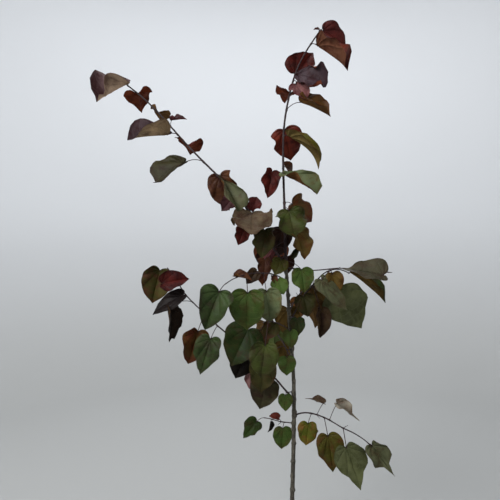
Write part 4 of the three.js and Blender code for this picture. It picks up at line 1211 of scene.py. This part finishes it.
def growPlant():
    leafSurfaces = leafMaterials()
    barks = {name: barkMaterial(name + "Bark", *tints) for name, tints in barkTints.items()}
    total = 0
    for shoot in shoots:
        points = lines[shoot["name"]]
        for name, begin, end in shoot["pieces"]:
            draw = drawsFor(name)
            leaves = seededLeaves(shoot, draw) if "seeded" in shoot else shoot["leaves"]
            twigs = newHeap("bark")
            limbMesh(twigs, shoot, begin, end, nodesOn(shoot, leaves))
            if not name.endswith("_foliage"):
                if name == "trunk":
                    for share, direction, size in dormantNodes():
                        sunk = limbRadius(shoot, share) - budPlace["dormantSunk"]
                        lean = unit(direction + [0, 0, budPlace["dormantLift"]])
                        foot = pointAlong(points, share) + direction * sunk
                        addBud(twigs, foot, lean, budPlace["dormantSize"] * size, 1)
                surfaces = [barks["stem" if name == "trunk" else "shoot"], barks["bud"]]
                buildPiece(name + "_bark", twigs, surfaces, [name])
                continue
            mine = [entry for entry in leaves if begin < entry["at"] and (entry["at"] < end or end == 1)]
            tints = sorted({entry["tint"] for entry in mine})
            blades = newHeap("reach", "vein", "sector")
            for index, entry in enumerate(mine):
                upper = 2 * tints.index(entry["tint"])
                slots = (upper, upper + 1)
                addLeafOnStalk(blades, twigs, shoot, entry, name, index, 2 * len(mine), slots, draw)
            if end == 1:
                addBud(twigs, pointAlong(points, 1), directionAlong(points, 1), budPlace["endSize"], 2)
            surfaces = [surface for tint in tints for surface in leafSurfaces[tint]]
            buildPiece(name + "_leaves", blades, surfaces, [name], crease=60)
            twigSurfaces = [barks["shoot"], barks["stalk"], barks["bud"]]
            buildPiece(name + "_twigs", twigs, twigSurfaces, [name])
            total += len(mine)
    print("plant:", total, "leaves on", len(shoots) - 1, "shoots")


# ---- pot ----

potLook = {
    "columns": 200, "slots": 8, "slotColumns": 6, "slotLow": 5, "slotHigh": 14, "slotRows": 4,
    "standHeight": 3.2, "standWidth": 9, "lipRound": 1.6, "lipSteps": 9,
    # the wall's rings, the three fine beads round it and the recessed panel with its broad shallow flutes
    "wallRings": (18, 19.5, 21, 40, 70, 100, 130, 158, 182, 184, 186, 188, 190, 196, 198, 200, 202),
    "beads": (186, 198, 200), "beadHeight": 0.9, "panel": (19.5, 184), "panelDepth": 0.8,
    "flutes": 20, "fluteEdge": 3, "fluteDepth": 0.45, "fluteRange": (24, 183),
    "insideRings": (160, 110, 60, 22), "floorThick": 1.8,
}

potFinish = {
    "tint": (34, 34, 36), "pale": (44, 44, 46), "worn": (58, 58, 60), "dust": (96, 84, 70),
    "cloud": (9, 4, 0.6), "cloudSpan": (0.35, 0.7), "texture": (1500, 2),
    "scratch": (30, 5, 0.75, 0.6), "scratchStretch": 14, "scuffSpan": (0.6, 0.78), "scuffShare": 0.45,
    "scuffDepth": -0.4, "film": (34, 5, 0.65), "filmStretch": 0.3,
    # dust by the foot and under the rim
    "lowHeight": (0.07, 0.0), "lowFilm": (0.35, 0.65), "lowShare": 0.6,
    "highHeight": (0.19, 0.235), "highFilm": (0.45, 0.75), "highShare": 0.5, "dustRoughness": 0.3,
    "roughness": (0.3, 0.75, 0.36, 0.55), "relief": (0.00012, 0.6), "shine": 0.45,
}


def potMaterial():
    look, m = potFinish, nodeMaker("mouldedBlackPlastic")
    place = m.place()
    height = m.height(place)
    cloud = m.noise(place, *look["cloud"])
    base = m.mix(m.span(cloud, *look["cloudSpan"]), colour(*look["tint"]), colour(*look["pale"]))
    scratch = m.noise(m.place((1, 1, look["scratchStretch"])), *look["scratch"])
    scuff = m.span(scratch, *look["scuffSpan"])
    base = m.mix(m.times(scuff, look["scuffShare"]), base, colour(*look["worn"]))
    film = m.noise(m.place((1, 1, look["filmStretch"])), *look["film"])
    low = m.times(m.span(height, *look["lowHeight"]), m.span(film, *look["lowFilm"]))
    high = m.times(m.span(height, *look["highHeight"]), m.span(film, *look["highFilm"]))
    dust = m.math("MAXIMUM", m.times(low, look["lowShare"]), m.times(high, look["highShare"]))
    base = m.mix(dust, base, colour(*look["dust"]))
    texture = m.noise(place, *look["texture"])
    roughness = m.timesPlus(dust, look["dustRoughness"], m.span(scratch, *look["roughness"]))
    bumps = m.timesPlus(scuff, look["scuffDepth"], texture)
    return m.finish(base, roughness, bumps, look["relief"], look["shine"])


# The pot's outline as [radius, height]. The first list runs from the middle of its underside up the outside
# and over the rim, the second down the inside to the middle of its floor
def potProfile():
    size, look = potSize, potLook
    foot, body, rim, wall, edge = (size[k] for k in ("footRadius", "bodyRadius", "rimRadius", "wall", "edge"))
    top, stand, lip = size["height"], look["standHeight"], look["lipRound"]
    shoulder, standRing = top - size["rimDepth"], foot - look["standWidth"]

    def outside(z):
        return foot + (body - foot) * (z - 2 * edge) / (shoulder - 2 * edge)
    slotHeights = np.linspace(look["slotLow"], look["slotHigh"], look["slotRows"])
    outer = [(0.5, stand), (foot * 0.5, stand), (standRing - 3, stand), (standRing, 0.6),
             (standRing + 1.2, 0), (foot - 3, 0), (foot - 1.2, 0.9), (foot - 0.5, 2.6)]
    outer += [(outside(z), z) for z in slotHeights]
    for z in look["wallRings"]:
        bead = look["beadHeight"] if z in look["beads"] else 0
        ledge = -look["panelDepth"] if look["panel"][0] <= z <= look["panel"][1] else 0
        outer.append((outside(z) + bead + ledge, z))
    outer += [(body, shoulder - 2), (body + 1.2, shoulder - 0.4), (rim - 3.2, shoulder),
              (rim - 2.4, shoulder + 0.8), (rim - 2.2, shoulder + 6), (rim - 1.6, shoulder + 7),
              (rim - 1.5, top - 8), (rim - 0.7, top - 6.6)]
    for turn in np.linspace(0, 180, look["lipSteps"]):      # rolled lip
        angle = math.radians(turn)
        outer.append((rim - lip + lip * math.cos(angle), top - lip + lip * math.sin(angle)))
    inner = [(rim - 5, top - 6), (rim - 5.4, shoulder + 3), (body - wall + 1, shoulder - 1.5),
             (body - wall, shoulder - 4)]
    inner += [(outside(z) - wall, z) for z in (*look["insideRings"], *slotHeights[::-1])]
    inner += [(radius, stand + look["floorThick"]) for radius in (foot - wall - 3, foot * 0.5, 0.5)]
    return outer, inner, slotHeights


def makePot():
    look = potLook
    outer, inner, slotHeights = potProfile()
    profile, columns = np.array(outer + inner), look["columns"]
    rows = len(profile)
    angles = anglesRound(columns)
    radius, height = (profile[:, i][:, None] * np.ones(columns) for i in (0, 1))
    isOutside = (np.arange(rows) < len(outer))[:, None]
    isFluted = isOutside & (height > look["fluteRange"][0]) & (height < look["fluteRange"][1])
    flutes = np.clip(np.cos(angles * look["flutes"]) * look["fluteEdge"], -1, 1)[None, :]
    radius = radius + isFluted * look["fluteDepth"] * flutes
    points = roundPoints(radius, angles, height).reshape(-1, 3)
    # the drain slots are left out of the outside and the inside, and their edges join the two
    steps, pitch = len(slotHeights) - 1, columns // look["slots"]
    outerRow = next(i for i, p in enumerate(outer) if p[1] == slotHeights[0])
    innerRow = len(outer) + next(i for i, p in enumerate(inner) if p[1] == slotHeights[-1])
    row, column = np.divmod(ringQuads(rows, columns)[:, 0], columns)
    atSlots = ((row >= outerRow) & (row < outerRow + steps)) | ((row >= innerRow) & (row < innerRow + steps))
    heap = newHeap()
    addRings(heap, rows, columns, isGap=(column % pitch < look["slotColumns"]) & atSlots)
    walls = []
    for k in range(look["slots"]):
        left, right = k * pitch, k * pitch + look["slotColumns"]
        loop = [(0, c) for c in range(left, right)] + [(s, right) for s in range(steps)]
        loop += [(steps, c) for c in range(right, left, -1)] + [(s, left) for s in range(steps, 0, -1)]
        for (s0, c0), (s1, c1) in zip(loop, loop[1:] + loop[:1]):
            o0, o1 = (outerRow + s0) * columns + c0, (outerRow + s1) * columns + c1
            i0, i1 = (innerRow + steps - s0) * columns + c0, (innerRow + steps - s1) * columns + c1
            walls.append([o0, o1, i1, i0])
    addFaces(heap, "quads", walls, 0)
    ends = [[0, 0, profile[0, 1]], [0, 0, profile[-1, 1]]]
    addPoints(heap, np.vstack([points, ends]) * mm)
    buildPiece("nursery_pot", heap, [potMaterial()], ["pot"], crease=38)
    print("pot: moulded wall with", look["slots"], "drain slots")


# ---- compost ----

compostLook = {
    "rings": 70, "columns": 160, "ringPower": 0.8, "firstRing": 0.01, "sideTop": 205, "floor": 3.2,
    "footGap": 1, "lumps": 1.5, "lumpSink": 0.7, "chips": 1500, "fibres": 110, "grains": 130,
}

# Each loose material: its main tone, the dark one, how fine it is and how rough
looseTints = {
    "moistCompost": ((46, 34, 26), (28, 20, 15), 160, 0.95),
    "barkChip0": ((82, 58, 42), (52, 36, 27), 240, 0.9),
    "barkChip1": ((52, 36, 27), (28, 20, 15), 240, 0.9),
    "barkChip2": ((116, 88, 64), (82, 58, 42), 240, 0.9),
    "dryFibre": ((122, 96, 66), (82, 58, 42), 300, 0.85),
    "paleGrain": ((196, 190, 178), (150, 142, 128), 500, 0.8),
}

looseFinish = {
    "coarse": (5, 0.65), "coarseSpan": (0.34, 0.68), "coarseHeight": 0.8,
    "fine": (4, 0.7), "finer": 7, "fineSpan": (0.5, 0.8, 0.0, 0.35), "pale": 1.4,
    "roughSpan": (0.3, 0.7), "smoother": 0.12, "relief": (0.0008, 0.9), "shine": 0.25,
}

# Chips, fibres and grains: how far they stay from the stem and the wall, and their sizes and turns
chipRule = {
    "length": (3.5, 13), "lengthPower": 2.2, "width": (0.4, 0.4), "thick": (1.2, 0.16),
    "clear": 11, "margin": 3, "lift": (0.1, 0.9), "tilt": 0.7,
    "tones": ["barkChip0", "barkChip1", "barkChip2"],
}
fibreRule = {
    "clear": 16, "margin": 20, "lift": 1.6, "length": (8, 16), "bend": 6, "steps": 9, "wave": 0.9, "waves": 3,
    "radius": 0.34, "taper": (1.1, 0.6), "sides": 6,
}
grainRule = {
    "width": (1.3, 1.6), "depth": 0.85, "height": 0.8, "clear": 12, "margin": 6, "lift": 0.7, "turn": 6,
    "corners": 7,
}

# A chip's outlines, each its height and how wide it is, then the spread of its top one
chipShape = {
    "layers": ((-0.5, 0.82), (0.05, 1.0)), "top": 0.5, "topWidth": (0.7, 0.2),
    "jitter": (0.75, 0.5), "uneven": 0.3,
}


def looseMaterial(name):
    main, dark, scale, roughness = looseTints[name]
    look, m = looseFinish, nodeMaker(name)
    place = m.place()
    coarse = m.noise(place, scale, *look["coarse"])
    fine = m.noise(place, scale * look["finer"], *look["fine"])
    base = m.mix(m.span(coarse, *look["coarseSpan"]), colour(*dark), colour(*main))
    base = m.mix(m.span(fine, *look["fineSpan"]), base, shaded(main, look["pale"]))
    height = m.timesPlus(coarse, look["coarseHeight"], fine)
    rough = m.span(fine, *look["roughSpan"], roughness - look["smoother"], roughness)
    return m.finish(base, rough, height, look["relief"], look["shine"])


def soilHeight(x, y):
    radius = np.hypot(x, y)
    edge = potSize["bodyRadius"] - potSize["wall"]
    fall = np.clip((radius - potSize["soilFlat"]) / (edge - potSize["soilFlat"]), 0, 1)
    # broad swells, then lumps, then crumbs
    lumps = (np.sin(x * 0.19 + 2.1 * np.sin(y * 0.07)) * np.sin(y * 0.23 + 1.3 * np.sin(x * 0.11))
             + 0.5 * np.sin(x * 0.61 + y * 0.37) * np.sin(y * 0.53 - x * 0.29 + 1.7)
             + 0.3 * np.sin(x * 1.3 - 0.4 * y) * np.sin(1.1 * y + 0.6 * x))
    lift = compostLook["lumps"] * (lumps - compostLook["lumpSink"])
    return potSize["soilTop"] - potSize["soilSag"] * fall + lift


def compostBody():
    look, size = compostLook, potSize
    edge = size["bodyRadius"] - size["wall"] - size["gap"]
    angle = anglesRound(look["columns"])[None, :]
    radius = (edge * np.linspace(look["firstRing"], 1, look["rings"]) ** look["ringPower"])[:, None]
    x, y = radius * np.cos(angle), radius * np.sin(angle)
    levels = [np.stack([x, y, soilHeight(x, y)], -1)]
    bottom = size["wall"] + look["floor"]
    foot = size["footRadius"] - size["wall"] - look["footGap"]
    for share in (0.5, 1):
        height = between((look["sideTop"], bottom), share)
        levels.append(roundPoints(between((edge, foot), share), angle, height + 0 * angle))
    points = np.concatenate(levels).reshape(-1, 3)
    heap = newHeap()
    addRings(heap, len(points) // look["columns"], look["columns"], flipped=True)
    ends = [[0, 0, float(soilHeight(0.0, 0.0))], [0, 0, bottom]]
    addPoints(heap, np.vstack([points, ends]) * mm)
    buildPiece("compost_bed", heap, [looseMaterial("moistCompost")], ["compost"], crease=80)


# One rough chip: three stacked outlines with flat ends, in its own tilted frame
def addChip(heap, centre, size, turn, tilt, draw, slot, corners=6):
    length, width, thick = size
    shape, angles = chipShape, anglesRound(corners)
    jitter = np.array([vary(shape["jitter"], draw()) for _ in range(corners)])
    layers = []
    for level, scale in (*shape["layers"], (shape["top"], vary(shape["topWidth"], draw()))):
        x = np.cos(angles) * jitter * length / 2 * scale
        y = np.sin(angles) * jitter * width / 2 * scale
        z = np.array([thick * (level + shape["uneven"] * (draw() - 0.5)) for _ in range(corners)])
        layers.append(np.stack([x, y, z], -1))
    points = np.vstack([*layers, layers[0].mean(0), layers[2].mean(0)])
    c, s = math.cos(turn), math.sin(turn)
    ct, st = math.cos(tilt), math.sin(tilt)
    spin = np.array([[c * ct, -s, c * st], [s * ct, c, s * st], [-st, 0, ct]])
    addRings(heap, len(layers), corners, slot)
    addPoints(heap, (points @ spin.T + centre) * mm)


# A random place on the compost, clear of the stem and the wall
def soilPlace(draw, clear, margin):
    edge = potSize["bodyRadius"] - potSize["wall"] - potSize["gap"] - margin
    radius = math.sqrt(between((clear ** 2, edge ** 2), draw()))
    angle = 2 * math.pi * draw()
    x, y = radius * math.cos(angle), radius * math.sin(angle)
    return np.array([x, y, float(soilHeight(x, y))])


def addChips(draw):
    rule, chips = chipRule, newHeap()
    for _ in range(compostLook["chips"]):
        length = rule["length"][0] + rule["length"][1] * draw() ** rule["lengthPower"]
        size = (length, length * vary(rule["width"], draw()), vary(rule["thick"], length))
        centre = soilPlace(draw, rule["clear"], rule["margin"] + length / 2)
        centre = centre + [0, 0, vary(rule["lift"], draw())]
        turn, tilt = 2 * math.pi * draw(), rule["tilt"] * (draw() - 0.5)
        addChip(chips, centre, size, turn, tilt, draw, int(len(rule["tones"]) * draw()))
    surfaces = [looseMaterial(name) for name in rule["tones"]]
    buildPiece("compost_chips", chips, surfaces, ["compost"], crease=35)


def addFibres(draw):
    rule, fibres = fibreRule, newHeap("bark")
    t = np.linspace(-1, 1, rule["steps"])
    for _ in range(compostLook["fibres"]):
        centre = soilPlace(draw, rule["clear"], rule["margin"]) + [0, 0, rule["lift"] - groundLevel]
        turn, reach = 2 * math.pi * draw(), vary(rule["length"], draw())
        bend = rule["bend"] * (draw() - 0.5)
        x, y = t * reach / 2, bend * t * t
        path = np.stack([x * math.cos(turn) - y * math.sin(turn), x * math.sin(turn) + y * math.cos(turn),
                         rule["wave"] * np.cos(rule["waves"] * t + bend)], -1)
        radii = rule["radius"] * (rule["taper"][0] - t * t * rule["taper"][1])
        skinTube(fibres, path + centre, radii, rule["sides"])
    buildPiece("compost_fibres", fibres, [looseMaterial("dryFibre")], ["compost"])


def addGrains(draw):
    rule, grains = grainRule, newHeap()
    for _ in range(compostLook["grains"]):
        width = vary(rule["width"], draw())
        centre = soilPlace(draw, rule["clear"], rule["margin"]) + [0, 0, rule["lift"]]
        size = (width, width * rule["depth"], width * rule["height"])
        addChip(grains, centre, size, rule["turn"] * draw(), draw(), draw, 0, rule["corners"])
    buildPiece("compost_grains", grains, [looseMaterial("paleGrain")], ["compost"], crease=30)


def makeCompost():
    compostBody()
    draw = drawsFor("bark chips")
    for add in (addChips, addFibres, addGrains):
        add(draw)
    print("compost:", *(f"{compostLook[kind]} {kind}" for kind in ("chips", "fibres", "grains")))


makeStudio()
growPlant()
makePot()
makeCompost()

bpy.context.view_layer.update()
